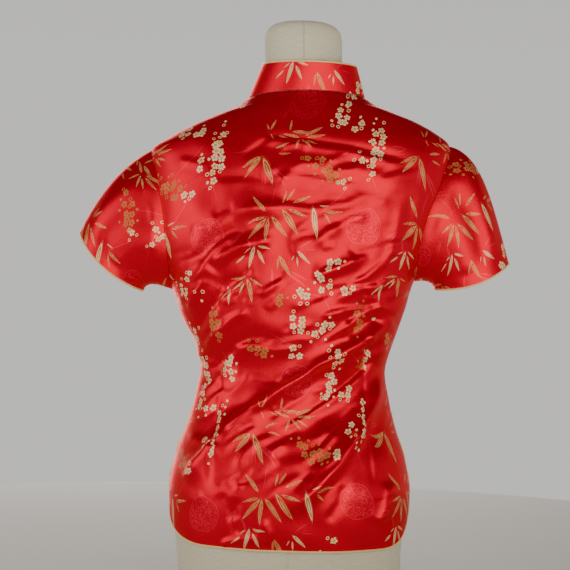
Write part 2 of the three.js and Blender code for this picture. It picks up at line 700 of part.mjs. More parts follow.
// The form: the torso moved in by the ease, its sides flattened at the armholes, its neck and its cap.
function formMesh() {
  const solid = new Solid();
  const heights = [...FORM_ROWS, ...SHOULDER_ROWS];
  const flatten = (x) => {
    const over = (Math.abs(x) - FORM_SIDE_LIMIT) / FORM_SIDE_SOFTNESS;
    return Math.sign(x) * (Math.abs(x) - FORM_SIDE_SOFTNESS * Math.log1p(Math.exp(over)));
  };
  const rings = heights.map((height) =>
    Array.from({ length: FORM_AROUND }, (_, k) => {
      const angle = (360 * k) / FORM_AROUND;
      const point = torsoPoint(angle, height);
      const normal = torsoNormal(angle, Math.max(height, 1));
      if (height === 0) normal.z = 0;
      const middle = Math.cos(radians(angle)) ** 2;
      point.addScaledVector(normal, -ease.side(height) - ease.middle(height) * middle);
      const aboveWaist = smoothstep((height - ARM_PLATE_LOW) / ARM_PLATE_BLEND);
      const belowTip = 1 - smoothstep((height - SHOULDER_TIP) / SHOULDER_BLEND);
      point.x += (flatten(point.x) - point.x) * aboveWaist * belowTip;
      return point;
    }),
  );
  const neck = linesOf(NECK);
  for (const height of NECK.height) {
    const ring = ringAt(neck, height);
    const angles = Array.from({ length: FORM_AROUND }, (_, k) => (360 * k) / FORM_AROUND);
    rings.push(angles.map((angle) => ringPoint(ring, angle, height)));
  }
  const index = rings.map((ring) => ring.map((point) => solid.add(point)));
  for (let i = 0; i + 1 < index.length; i += 1) {
    for (let k = 0; k < FORM_AROUND; k += 1) {
      const m = (k + 1) % FORM_AROUND;
      solid.quad(index[i][m], index[i][k], index[i + 1][k], index[i + 1][m]);
    }
  }
  const base = solid.add(new THREE.Vector3(0, 0, 0));
  const crown = solid.add(new THREE.Vector3(-1, 0, NECK.height[NECK.height.length - 1]));
  const last = index[index.length - 1];
  for (let k = 0; k < FORM_AROUND; k += 1) {
    const m = (k + 1) % FORM_AROUND;
    solid.faces.push(base, index[0][k], index[0][m]);
    solid.faces.push(crown, last[m], last[k]);
  }
  return solid.mesh("dress_form", LINEN);
}

// A straight knotted closure: a doubled cord that lies on the cloth and swells to a knot in its middle.
const CLOSURE_STEPS = 14;
function closure(name, pointAt, outAt) {
  const path = [];
  const outs = [];
  const sizes = [];
  for (let i = 0; i <= CLOSURE_STEPS; i += 1) {
    const t = (2 * i) / CLOSURE_STEPS - 1;
    const share = Math.sign(t) * Math.abs(t) ** 1.5;
    const knot = Math.exp(-((share / KNOT_SHARE) ** 2));
    const out = outAt(share);
    const height = CORD_HALF_HEIGHT + (KNOT_HALF_HEIGHT - CORD_HALF_HEIGHT) * knot;
    path.push(pointAt(share).addScaledVector(out, CLOSURE_LIFT + height));
    outs.push(out);
    sizes.push({ width: CORD_HALF_WIDTH + (KNOT_RADIUS - CORD_HALF_WIDTH) * knot, height });
  }
  return cord(name, path, outs, sizes);
}

function frontClosure(name, { angle, height, spread, rise }) {
  const at = (share) => [180 + angle + spread * share, height + rise * share];
  return closure(name, (share) => torsoPoint(...at(share)), (share) => torsoNormal(...at(share)));
}

function neckClosure(name) {
  const at = (share) => 180 + NECK_CLOSURE.spread * share;
  const out = (share) => new THREE.Vector3(Math.sin(radians(at(share))), Math.cos(radians(at(share))), 0);
  return closure(name, (share) => collarPoint(at(share), NECK_CLOSURE.share), out);
}

const blouse = new THREE.Group();
blouse.add(formMesh());
blouse.add(clothSheet("back", backGrid, { flip: true }));
blouse.add(clothSheet("main_front", frontGrid));
blouse.add(clothSheet("small_right_front", smallFrontGrid(), { flip: true }));

for (const [name, rows, flip, slitRows, side] of [
  ["piping_back_hem", backGrid, true, BACK_HEM_ROWS - 1, -1],
  ["piping_front_hem", frontGrid, false, FRONT_HEM_ROWS - 1, 1],
]) {
  const outs = gridOuts(rows, flip);
  const edge = hemEdge(rows, slitRows);
  blouse.add(piping(name, edge.map(([i, j]) => rows[i][j]), edge.map(([i, j]) => outs[i][j]), side));
}

const frontOuts = gridOuts(frontGrid, false);
const slantedEdge = frontGrid.slice(OPENING_FIRST_ROW).map((row) => row[0]);
const slantedOuts = frontOuts.slice(OPENING_FIRST_ROW).map((row) => row[0]);
blouse.add(piping("piping_opening", slantedEdge, slantedOuts, -1));

const collar = collarGrid();
const collarOuts = gridOuts(collar, true);
const collarLast = collar[0].length - 1;
const collarEdge = [
  ...collar.map((_, i) => [i, 0]),
  ...collar[0].map((_, j) => [collar.length - 1, j]).slice(1, -1),
  ...collar.map((_, i) => [collar.length - 1 - i, collarLast]),
];
const collarEdgePoints = collarEdge.map(([i, j]) => collar[i][j]);
const collarEdgeOuts = collarEdge.map(([i, j]) => collarOuts[i][j]);
blouse.add(clothSheet("collar", collar, { flip: true }));
blouse.add(piping("piping_collar", collarEdgePoints, collarEdgeOuts, 1));

for (const [name, sleeve] of Object.entries(SLEEVES)) {
  const grid = sleeveGrid(sleeve);
  const flip = sleeve.side > 0;
  const outs = gridOuts(grid, flip, true);
  const hem = grid.length - 1;
  blouse.add(clothSheet(`sleeve_${name}`, grid, { closed: true, flip }));
  blouse.add(piping(`piping_sleeve_${name}`, grid[hem], outs[hem], sleeve.side, true));
}

blouse.add(neckClosure("closure_neck"));
blouse.add(frontClosure("closure_chest", CHEST_CLOSURE));
blouse.add(frontClosure("closure_underarm", UNDERARM_CLOSURE));

export default blouse;
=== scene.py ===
"""A women's short-sleeved blouse in red brocade satin, worn on a linen-covered dress form.

The blouse's panels are pieces of one torso surface, a stack of squared oval rings. Sizes are in
millimetres and angles in degrees from the centre back toward the wearer's left, until a mesh is made.
"""

from __future__ import annotations

import logging
import math
from collections.abc import Callable, Iterable, Sequence
from dataclasses import dataclass, field
from enum import Enum

import bpy
import numpy as np
from mathutils import Matrix, Vector

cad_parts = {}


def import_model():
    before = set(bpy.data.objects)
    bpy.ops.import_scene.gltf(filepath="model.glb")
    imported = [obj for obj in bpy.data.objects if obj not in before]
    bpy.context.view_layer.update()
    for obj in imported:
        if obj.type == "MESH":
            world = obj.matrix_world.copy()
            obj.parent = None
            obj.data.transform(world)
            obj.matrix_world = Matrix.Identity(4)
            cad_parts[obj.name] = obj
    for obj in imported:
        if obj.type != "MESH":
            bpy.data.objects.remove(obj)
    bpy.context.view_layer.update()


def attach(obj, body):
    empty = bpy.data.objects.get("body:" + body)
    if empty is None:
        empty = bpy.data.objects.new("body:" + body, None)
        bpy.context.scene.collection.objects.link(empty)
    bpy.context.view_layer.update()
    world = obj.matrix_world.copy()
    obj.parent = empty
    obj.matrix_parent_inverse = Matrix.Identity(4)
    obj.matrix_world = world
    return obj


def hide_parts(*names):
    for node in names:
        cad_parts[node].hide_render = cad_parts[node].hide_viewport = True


LOG = logging.getLogger("blouse")

Tree = bpy.types.NodeTree
Socket = bpy.types.NodeSocket
Material = bpy.types.Material
Thing = bpy.types.Object

MM = 0.001

# Driving dimensions of the blouse and the form
CLOTH_WALL = 1.0
SEAM_GAP = 0.3
HEM_HEIGHT = 118.0
SLIT_TOP = 295.0
SLIT_TAPER = 14.0
SLIT_OPEN = 2.3
HALF_GIRTH = 220.0
UNDERARM = 450.0
SHOULDER_TIP = 632.0
NECK_SIDE = 698.0
ARMHOLE_DEPTH_BACK = 30.0
ARMHOLE_DEPTH_FRONT = 31.0
ARMHOLE_MIDDLE = (UNDERARM + SHOULDER_TIP) / 2
ARMHOLE_HALF = (SHOULDER_TIP - UNDERARM) / 2
OPENING_FOOT = 476.0
UNDERLAP = 7.0
UNDERLAP_DROP = 2.6
PIPING_RADIUS = 1.25
COLLAR_FRONT_GAP = 5.0
COLLAR_CORNER = 14.0
COLLAR_GIRTH = 380.0
COLLAR_TALL = 42.0
CORD_RADIUS = 1.5
KNOT_RADIUS = 4.6

Array = np.ndarray


def smooth_line(keys: Sequence[float], values: Sequence[float]) -> Callable[[Array], Array]:
    """Makes a smooth line through values at keys, without overshoot between them.

    Args:
        keys: rising places.
        values: the line's value at each place.

    Returns:
        A function from places to values; past its ends the line is level.
    """
    key = np.asarray(keys, float)
    value = np.asarray(values, float)
    slope = np.diff(value) / np.diff(key)
    before, after = slope[:-1], slope[1:]
    product = before * after
    inner = np.where(product > 0, 2 * product / np.where(product > 0, before + after, 1), 0)
    tangent = np.concatenate([slope[:1], inner, slope[-1:]])

    def line(at: Array) -> Array:
        """Gives the line's value at each place."""
        place = np.clip(np.asarray(at, float), key[0], key[-1])
        i = np.clip(np.searchsorted(key, place, side="right") - 1, 0, len(key) - 2)
        span = key[i + 1] - key[i]
        t = (place - key[i]) / span
        rise = t * t * (3 - 2 * t)
        lead = t * (1 - t) ** 2 * span
        trail = t * t * (t - 1) * span
        return value[i] * (1 - rise) + value[i + 1] * rise + tangent[i] * lead + tangent[i + 1] * trail

    return line


def smoothstep(t: Array) -> Array:
    """Rises smoothly from 0 to 1 as t goes from 0 to 1."""
    c = np.clip(t, 0, 1)
    return c * c * (3 - 2 * c)


def unit(vectors: Array) -> Array:
    """Scales vectors to length 1."""
    return vectors / np.maximum(np.linalg.norm(vectors, axis=-1, keepdims=True), 1e-9)


class Rings:
    """A stack of squared oval rings, each column of its table a smooth line over the height."""

    def __init__(self, columns: str, rows: Iterable[Sequence[float]]) -> None:
        """Takes the columns' names in one string, height first, and the rows."""
        table = np.array(list(rows), float)
        self.lines = {name: smooth_line(table[:, 0], table[:, i]) for i, name in enumerate(columns.split())}

    def at(self, height: Array) -> dict[str, Array]:
        """Gives each column's value at the heights."""
        return {name: line(height) for name, line in self.lines.items()}

    def point(self, angle: Array, height: Array) -> Array:
        """Gives the points at angles and heights."""
        return ring_point(self.at(height), angle, height)


def ring_point(ring: dict[str, Array], angle: Array, height: Array) -> Array:
    """Places points on squared oval rings.

    Args:
        ring: half width, back and front y, centre y, lifts, squareness, shift and tilt.
        angle: degrees from the centre back toward the wearer's left.
        height: the ring's height at the side.

    Returns:
        Points, with x, y and z last.
    """
    sine, cosine = np.sin(np.radians(angle)), np.cos(np.radians(angle))
    square = ring["square"]
    scale = (np.abs(sine) ** square + np.abs(cosine) ** square) ** (-1 / square)
    reach = np.where(cosine > 0, ring["back"] - ring["centre"], ring["centre"] - ring["front"])
    lift = np.where(cosine > 0, ring["back_lift"], ring["front_lift"])
    x = ring["shift"] + ring["half"] * sine * scale
    y = ring["centre"] + reach * cosine * scale
    z = height + lift * cosine**2 - ring.get("tilt", 0) * sine
    return np.stack(np.broadcast_arrays(x, y, z), axis=-1)


TORSO = Rings(
    "height half back front centre back_lift front_lift square shift tilt",
    [
        (0, 144, 97, -84, 2, 0, 0, 2.1, -3, 0),
        (60, 151, 105, -90, 2, 0, 0, 2.15, -3, 0),
        (98, 153, 111, -93, 2, 0, 0, 2.2, -1, 0),
        (145, 158, 118, -97, 2, 0, 0, 2.2, 0, 0),
        (180, 159, 120, -99, 2, 0, 0, 2.2, 0, 0),
        (224, 152, 112, -97, 1, 0, 0, 2.2, 0, 0),
        (262, 139, 98, -92, 0, 0, 0, 2.2, 0, 0),
        (300, 129, 86, -88, 0, 0, 0, 2.2, 0, 0),
        (338, 122, 81, -88, 0, 0, 0, 2.2, 0, 0),
        (375, 132, 88, -97, 0, 0, 0, 2.25, 0, 3),
        (406, 145, 94, -106, 0, 0, 0, 2.3, 2, 6),
        (450, 160, 98, -112, 0, 0, 0, 2.3, 3, 10),
        (490, 175, 98, -111, 0, 0, 0, 2.3, 4, 10),
        (541, 192, 98, -106, 0, 0, 0, 2.3, 2, 9),
        (584, 200, 93, -94, 1, 6, 0, 2.3, -2, 8),
        (613, 200, 85, -83, 3, 11, -4, 2.3, -3, 7),
        (632, 196, 78, -74, 5, 12, -8, 2.3, -2, 8),
        (648, 175, 70, -68, 5, 14, -14, 2.25, -3, 8),
        (661, 152, 64, -63, 5, 15, -19, 2.2, -4, 7),
        (673, 124, 59, -58, 5, 14, -23, 2.15, -6, 5),
        (683, 99, 56, -54, 5, 10, -25, 2.1, -7, 4),
        (698, 77, 52, -48, 4, 5, -26, 2, -8, 2),
    ],
)
BUST_ACROSS, BUST_HEIGHT, BUST_REACH, BUST_WIDTH, BUST_TALL = 76.0, 428.0, 15.0, 36.0, 40.0

# How far the form lies inside the cloth, at the sides and what is added at the centres.
EASE_KEYS = (0, 60, 98, 180, 262, 338, 406, 450, 541, 613, 632, 661, 698)
EASE_SIDE = smooth_line(EASE_KEYS, (1, 3, 4.5, 6, 9, 9, 6, 5, 5, 3, 1.8, 1.7, 1.7))
EASE_MIDDLE = smooth_line(EASE_KEYS, (0, 0, 0, 0, 1, 1, 2, 2, 1, 3, 4, 3.4, 2.6))

NECK = Rings(
    "height half back front centre back_lift front_lift square shift",
    [
        (704, 65, 43, -39, 3, 5, -20, 2, -6),
        (714, 57, 44, -39, 3, 3, -15, 2, -4),
        (728, 52.5, 46, -42, 2, 1, -8, 2, -3),
        (745, 51, 47, -44, 1, 0, -3, 2, -2.5),
        (772, 51.5, 47, -45, 1, 0, 0, 2, -1.5),
        (783, 50, 45, -43, 1, 0, 0, 2, -1),
        (792, 44, 40, -38, 1, 0, 0, 2, -1),
        (798, 29, 26, -24, 1, 0, 0, 2, -1),
        (799, 12, 11, -9, 1, 0, 0, 2, -1),
    ],
)
FORM_SIDE_LIMIT = 171.0
FORM_SIDE_SOFTNESS = 7.0

COLLAR_TOP = {
    "half": 63.5,
    "back": 54.0,
    "front": -51.0,
    "centre": 2.0,
    "shift": -10.5,
    "back_lift": -1.0,
    "front_lift": -28.0,
    "square": 2.0,
}
COLLAR_TOP_SIDE = 740.0


@dataclass(frozen=True)
class Corner:
    """A hem corner's rounding along the cloth and up the slit."""

    along: float
    up: float


@dataclass(frozen=True)
class Crease:
    """A crease: how far it stands out, its reach to either side, and its way (across, height)."""

    depth: float
    left: float
    right: float
    way: tuple[tuple[float, float], ...]


BACK_CREASES = (
    Crease(-3, 26, 10, ((61, 640), (-20, 630), (-79, 621), (-143, 607))),
    Crease(3.5, 14, 26, ((40, 610), (-30, 604), (-90, 594), (-150, 578))),
    Crease(3, 10, 16, ((144, 482), (125, 504), (108, 521), (83, 538), (61, 544), (30, 542), (11, 535))),
    Crease(3.5, 10, 9, ((106, 471), (94, 484), (77, 496), (52, 505), (26, 512))),
    Crease(3, 14, 14, ((143, 412), (130, 439), (117, 462), (106, 473))),
    Crease(-3, 12, 12, ((100, 440), (76, 453), (52, 465))),
    Crease(6, 12, 20, ((-116, 380), (-63, 367), (-23, 348), (23, 308), (77, 267), (120, 216), (139, 194))),
    Crease(-4, 11, 16, ((-117, 369), (-81, 334), (-51, 304), (-20, 280), (24, 253))),
    Crease(6, 16, 11, ((-110, 347), (-108, 310), (-94, 282), (-77, 253), (-54, 220), (-17, 184), (18, 160))),
    Crease(3, 12, 14, ((-129, 207), (-125, 184), (-119, 165), (-110, 148))),
    Crease(3, 12, 14, ((-21, 462), (-56, 477), (-76, 491))),
    Crease(-3, 12, 12, ((-62, 407), (-108, 431))),
    Crease(-3, 9, 12, ((-34, 373), (-64, 391), (-95, 406), (-129, 419))),
    Crease(3, 9, 9, ((-90, 383), (-131, 410))),
    Crease(3, 16, 14, ((9, 489), (-19, 504), (-59, 527))),
)
# Finer creases of the back, too slight for the solids.
BACK_FINE_CREASES = (
    Crease(1.2, 5, 7, ((6, 420), (-17, 432), (-37, 439))),
    Crease(-1.6, 5, 6, ((106, 498), (84, 514), (52, 524), (24, 526))),
    Crease(1.3, 6, 6, ((150, 452), (128, 470), (104, 487))),
    Crease(-1.4, 7, 7, ((-147, 575), (-142, 537), (-136, 499))),
    Crease(1.2, 6, 6, ((-133, 560), (-124, 520), (-120, 488))),
    Crease(1.6, 6, 8, ((72, 208), (61, 192))),
    Crease(-1.5, 7, 7, ((90, 187), (75, 167), (67, 152))),
    Crease(-2, 12, 12, ((24, 234), (-27, 242))),
    Crease(1.2, 5, 5, ((-60, 340), (-98, 360), (-126, 372))),
    Crease(-1.2, 5, 5, ((132, 330), (110, 322), (88, 326))),
    Crease(1.3, 5, 6, ((134, 360), (116, 348), (92, 344))),
    Crease(1.2, 6, 6, ((-30, 560), (-70, 566), (-118, 560))),
    Crease(-1.2, 6, 6, ((20, 580), (60, 588), (110, 584))),
    Crease(1.4, 6, 7, ((-18, 214), (14, 196), (40, 172))),
    Crease(-1.4, 5, 8, ((-70, 208), (-62, 178), (-46, 154))),
    Crease(1.5, 6, 6, ((136, 250), (112, 246), (84, 230))),
)
# Crisp breaks of the back's folds: steep above, drawn out below.
BACK_BREAKS = (
    Crease(3.2, 8, 3.4, ((86, 538), (53, 548), (18, 550), (-15, 546), (-61, 555), (-91, 566))),
    Crease(3.5, 9, 3.2, ((134, 450), (119, 468), (107, 489), (90, 505), (70, 513))),
    Crease(2.9, 8, 3.2, ((107, 471), (90, 490), (72, 498), (52, 501), (22, 512))),
    Crease(2.9, 8, 3.4, ((-18, 460), (-43, 471), (-68, 482), (-93, 492))),
    Crease(2.3, 7, 3.4, ((103, 426), (76, 444), (51, 468))),
    Crease(2.6, 8, 3.6, ((-16, 503), (-41, 521), (-66, 535), (-91, 543))),
    Crease(2.9, 8, 3.2, ((-32, 412), (-59, 420), (-95, 424))),
    Crease(
        4.9,
        9,
        3.6,
        ((95, 251), (68, 277), (24, 312), (-11, 335), (-31, 354), (-61, 370), (-96, 389), (-118, 397)),
    ),
    Crease(4.1, 9, 3.6, ((20, 264), (-13, 280), (-48, 304), (-72, 322), (-97, 343), (-117, 369))),
    Crease(3.5, 8, 3.4, ((-30, 374), (-65, 400), (-95, 421), (-122, 430))),
    Crease(3.2, 9, 4.0, ((58, 639), (20, 633), (-20, 628), (-64, 623), (-107, 614), (-145, 605))),
    Crease(2.6, 8, 3.6, ((139, 194), (120, 218), (98, 244), (73, 267))),
    Crease(2.3, 7, 3.2, ((-1, 170), (-33, 197), (-62, 228), (-82, 259), (-101, 298), (-112, 343))),
    Crease(2.0, 6, 3.0, ((138, 412), (126, 438), (114, 458))),
    Crease(2.2, 7, 3.2, ((86, 117), (79, 125), (61, 131), (34, 134))),
    Crease(2.0, 7, 3.4, ((-110, 148), (-120, 171), (-127, 202))),
    Crease(2.3, 6, 3.2, ((-69, 454), (-88, 464), (-111, 483), (-128, 511))),
    Crease(2.0, 6, 3.0, ((39, 582), (4, 588), (-39, 582), (-78, 581))),
    Crease(2.2, 7, 3.2, ((83, 366), (56, 374), (23, 367), (-8, 373))),
    Crease(1.9, 6, 3.0, ((121, 276), (104, 299), (85, 317))),
    Crease(1.9, 6, 3.2, ((-12, 229), (-39, 245), (-61, 269))),
    Crease(-3.4, 5, 8, ((130, 382), (115, 405), (98, 431), (76, 452))),
    Crease(2.8, 8, 4, ((116, 362), (102, 385), (80, 406), (57, 420))),
    Crease(-2.4, 5, 8, ((108, 329), (88, 358), (59, 379), (31, 387))),
    Crease(2.2, 8, 3.6, ((122, 296), (102, 322), (78, 343))),
    Crease(-2.6, 5, 7, ((-115, 412), (-90, 401), (-68, 385))),
    Crease(2.4, 7, 3.4, ((-44, 433), (-71, 446), (-104, 452), (-124, 470))),
    Crease(-2.2, 5, 8, ((35, 278), (3, 300), (-29, 321))),
    Crease(2.2, 8, 4, ((-8, 196), (-40, 220), (-69, 248), (-86, 274))),
    Crease(-2.0, 6, 6, ((65, 184), (72, 156), (66, 131))),
    Crease(2.0, 6, 5, ((34, 157), (26, 139), (28, 124))),
)
FRONT_CREASES = (
    Crease(3, 12, 14, ((80, 392), (62, 368), (40, 350), (14, 338))),
    Crease(3, 14, 12, ((-84, 396), (-70, 370), (-52, 352))),
    Crease(4, 12, 16, ((112, 318), (76, 292), (30, 262), (-22, 236))),
    Crease(3.5, 14, 12, ((-116, 300), (-84, 262), (-58, 214), (-44, 178))),
    Crease(-3, 16, 14, ((40, 440), (0, 448), (-36, 438))),
    Crease(3, 12, 12, ((150, 520), (122, 494), (102, 470))),
    Crease(2.5, 12, 12, ((-146, 506), (-124, 484), (-104, 468))),
)
FRONT_FINE_CREASES = (
    Crease(1.4, 6, 7, ((110, 372), (84, 352), (52, 344))),
    Crease(-1.4, 6, 6, ((-112, 366), (-86, 348), (-60, 342))),
    Crease(1.5, 7, 7, ((96, 250), (60, 226), (20, 214))),
    Crease(1.3, 6, 6, ((-96, 210), (-70, 176), (-62, 146))),
    Crease(-1.5, 7, 7, ((60, 200), (30, 170), (22, 142))),
    Crease(1.3, 6, 6, ((30, 560), (62, 552), (104, 556))),
    Crease(1.2, 6, 6, ((-26, 520), (-60, 500), (-92, 496))),
)


@dataclass(frozen=True)
class Dart:
    """A long waist dart: its seam (across, height) and the cloth that it takes in at its middle."""

    way: tuple[tuple[float, float], ...]
    intake: float

    @property
    def low(self) -> float:
        """The height of the dart's lower point."""
        return min(height for _, height in self.way)

    @property
    def high(self) -> float:
        """The height of the dart's upper point."""
        return max(height for _, height in self.way)

    def across(self, height: Array) -> Array:
        """Gives how far across the seam lies at the heights."""
        ways = sorted(self.way, key=lambda place: place[1])
        return smooth_line([z for _, z in ways], [x for x, _ in ways])(height)

    def taken(self, height: Array) -> Array:
        """Gives how much cloth the dart takes in at the heights."""
        share = (height - self.low) / (self.high - self.low)
        return self.intake * np.clip(4 * share * (1 - share), 0, 1) ** 0.8


BACK_DARTS = (
    Dart(((107, 469), (99, 429), (91, 365), (93, 317), (95, 277), (103, 190)), 16),
    Dart(((-86, 460), (-90, 383), (-91, 330), (-93, 280), (-100, 235), (-106, 196)), 16),
)
FRONT_DARTS = (
    Dart(((80, 400), (76, 360), (74, 330), (76, 280), (82, 210)), 18),
    Dart(((-80, 400), (-76, 360), (-74, 330), (-76, 280), (-82, 210)), 18),
)
DART_SINK, DART_REACH = 1.1, 3.2


def crease_reach(creases: Iterable[Crease], x: Array, z: Array) -> Array:
    """Adds up how far creases move points out; each fades at both ends.

    Args:
        creases: the creases.
        x: places across.
        z: heights.

    Returns:
        The reach at each place.
    """
    reach = np.zeros_like(x)
    for crease in creases:
        best = np.full_like(x, np.inf)
        share = np.zeros_like(x)
        side = np.zeros_like(x)
        last = len(crease.way) - 1
        for i, ((ax, az), (bx, bz)) in enumerate(zip(crease.way, crease.way[1:])):
            dx, dz = bx - ax, bz - az
            t = np.clip(((x - ax) * dx + (z - az) * dz) / (dx * dx + dz * dz), 0, 1)
            off_x, off_z = x - ax - dx * t, z - az - dz * t
            distance = np.hypot(off_x, off_z)
            near = distance < best
            best = np.where(near, distance, best)
            share = np.where(near, (i + t) / last, share)
            side = np.where(near, dx * off_z - dz * off_x, side)
        width = np.where(side > 0, crease.left, crease.right)
        fade = smoothstep(share * 5) * smoothstep((1 - share) * 5)
        reach += crease.depth * np.exp(-((best / width) ** 2)) * fade
    return reach


def small_wrinkles(seed: int, count: int, low: float, high: float, lean: float) -> tuple[Crease, ...]:
    """Scatters slight wrinkles between the main folds, along the way that the cloth is drawn.

    Args:
        seed: fixes the scatter.
        count: how many wrinkles.
        low: the lowest height.
        high: the highest height.
        lean: degrees that they rise toward the wearer's right, low down; less higher up.

    Returns:
        The wrinkles, as creases.
    """
    chance = np.random.default_rng(seed)
    wrinkles = []
    for _ in range(count):
        x, z = chance.uniform(-150, 150), chance.uniform(low, high)
        angle = math.radians(lean * (1 - 0.6 * (z - low) / (high - low)) + chance.normal(0, 15))
        half = chance.uniform(10, 34)
        bend = chance.normal(0, 0.16)
        way = []
        for share in (-1, -0.33, 0.33, 1):
            turn = angle + bend * share
            way.append((x - share * half * math.cos(turn), z + share * half * math.sin(turn)))
        depth = chance.choice((-1, 1)) * chance.uniform(0.4, 1.5)
        wrinkles.append(Crease(depth, chance.uniform(3.4, 7), chance.uniform(2.8, 5), tuple(way)))
    return tuple(wrinkles)


def dart_reach(darts: Iterable[Dart], x: Array, z: Array) -> Array:
    """Gives how far the seams of the darts sink the cloth, as a reach below 0."""
    reach = np.zeros_like(x)
    for dart in darts:
        inside = smoothstep((z - dart.low) / 20) * smoothstep((dart.high - z) / 20)
        reach -= DART_SINK * inside * np.exp(-(((x - dart.across(z)) / DART_REACH) ** 2))
    return reach


BACK_FOLD_DEPTH = 1.2  # how much deeper the back's creases are than they are listed
BACK_WRINKLES = small_wrinkles(21, 110, 150, 630, 36)
FRONT_WRINKLES = small_wrinkles(22, 60, 150, 600, -28)


def ripple(x: Array, z: Array, seed: int, size: float) -> Array:
    """Gives a slight uneven ripple, so that no stretch of worn cloth is perfectly smooth."""
    turns = np.random.default_rng(seed)
    total = np.zeros_like(x)
    for _ in range(7):
        angle = turns.uniform(0, math.pi)
        length = turns.uniform(26, 80)
        phase = turns.uniform(0, 2 * math.pi)
        total += np.sin((x * math.cos(angle) + z * math.sin(angle)) * 2 * math.pi / length + phase)
    return total * size / 3


def torso_point(angle: Array, height: Array) -> Array:
    """Places points on the bare torso surface, bust included."""
    point = TORSO.point(angle, height)
    across = (np.abs(point[..., 0]) - BUST_ACROSS) / BUST_WIDTH
    up = (point[..., 2] - BUST_HEIGHT) / BUST_TALL
    front = smoothstep(-2 * np.cos(np.radians(angle)))
    point[..., 1] -= BUST_REACH * np.exp(-0.5 * (across**2 + up**2)) * front
    return point


def torso_normal(angle: Array, height: Array) -> Array:
    """Gives the ways out of the torso surface."""
    step = 0.5
    along = torso_point(angle + step, height) - torso_point(angle - step, height)
    up = torso_point(angle, np.minimum(height + step, NECK_SIDE)) - torso_point(angle, height - step)
    return unit(np.cross(up, along))


def cloth_point(angle: Array, height: Array, drop: Array | float = 0.0) -> Array:
    """Places points of the worn cloth: the torso with its creases, darts and ripple.

    Args:
        angle: degrees from the centre back.
        height: heights at the side.
        drop: how much further in the cloth lies.

    Returns:
        Points, with x, y and z last.
    """
    angle, height = np.broadcast_arrays(np.asarray(angle, float), np.asarray(height, float))
    point = torso_point(angle, height)
    facing = np.cos(np.radians(angle))
    x, z = point[..., 0], point[..., 2]
    behind = (*BACK_CREASES, *BACK_FINE_CREASES, *BACK_BREAKS, *BACK_WRINKLES)
    ahead = (*FRONT_CREASES, *FRONT_FINE_CREASES, *FRONT_WRINKLES)
    back = BACK_FOLD_DEPTH * crease_reach(behind, x, z) + dart_reach(BACK_DARTS, x, z)
    front = crease_reach(ahead, x, z) + dart_reach(FRONT_DARTS, x, z)
    seen = smoothstep(np.abs(facing) * 2.5)
    calm = smoothstep((NECK_SIDE - 15 - height) / 60)
    reach = np.where(facing > 0, back, front) * seen + ripple(x, z, 11, 0.45) * calm
    return point + torso_normal(angle, height) * (reach - drop)[..., None]


def armhole_cut(height: Array, depth: float) -> Array:
    """Gives the degrees that the armhole, an oval, cuts from a row at each height."""
    up = (np.asarray(height, float) - ARMHOLE_MIDDLE) / ARMHOLE_HALF
    return depth * np.sqrt(np.clip(1 - up * up, 0, 1))


OPENING = smooth_line((OPENING_FOOT, 500, 525, 560, 600, 640, 670, NECK_SIDE), (64, 54, 45, 35, 26, 17, 9, 0))


def opening_limit(height: Array) -> Array:
    """Gives the angle off the centre front at which the main front ends on the wearer's right."""
    return np.where(height <= OPENING_FOOT, 90, np.maximum(OPENING(height), 0.8))


def seam_angle(height: Array) -> Array:
    """Gives half the gap of a side or shoulder seam as an angle."""
    ring = TORSO.at(height)
    reach = np.minimum(ring["back"] - ring["centre"], ring["centre"] - ring["front"])
    return np.degrees(1.1 * SEAM_GAP / 2 / reach)


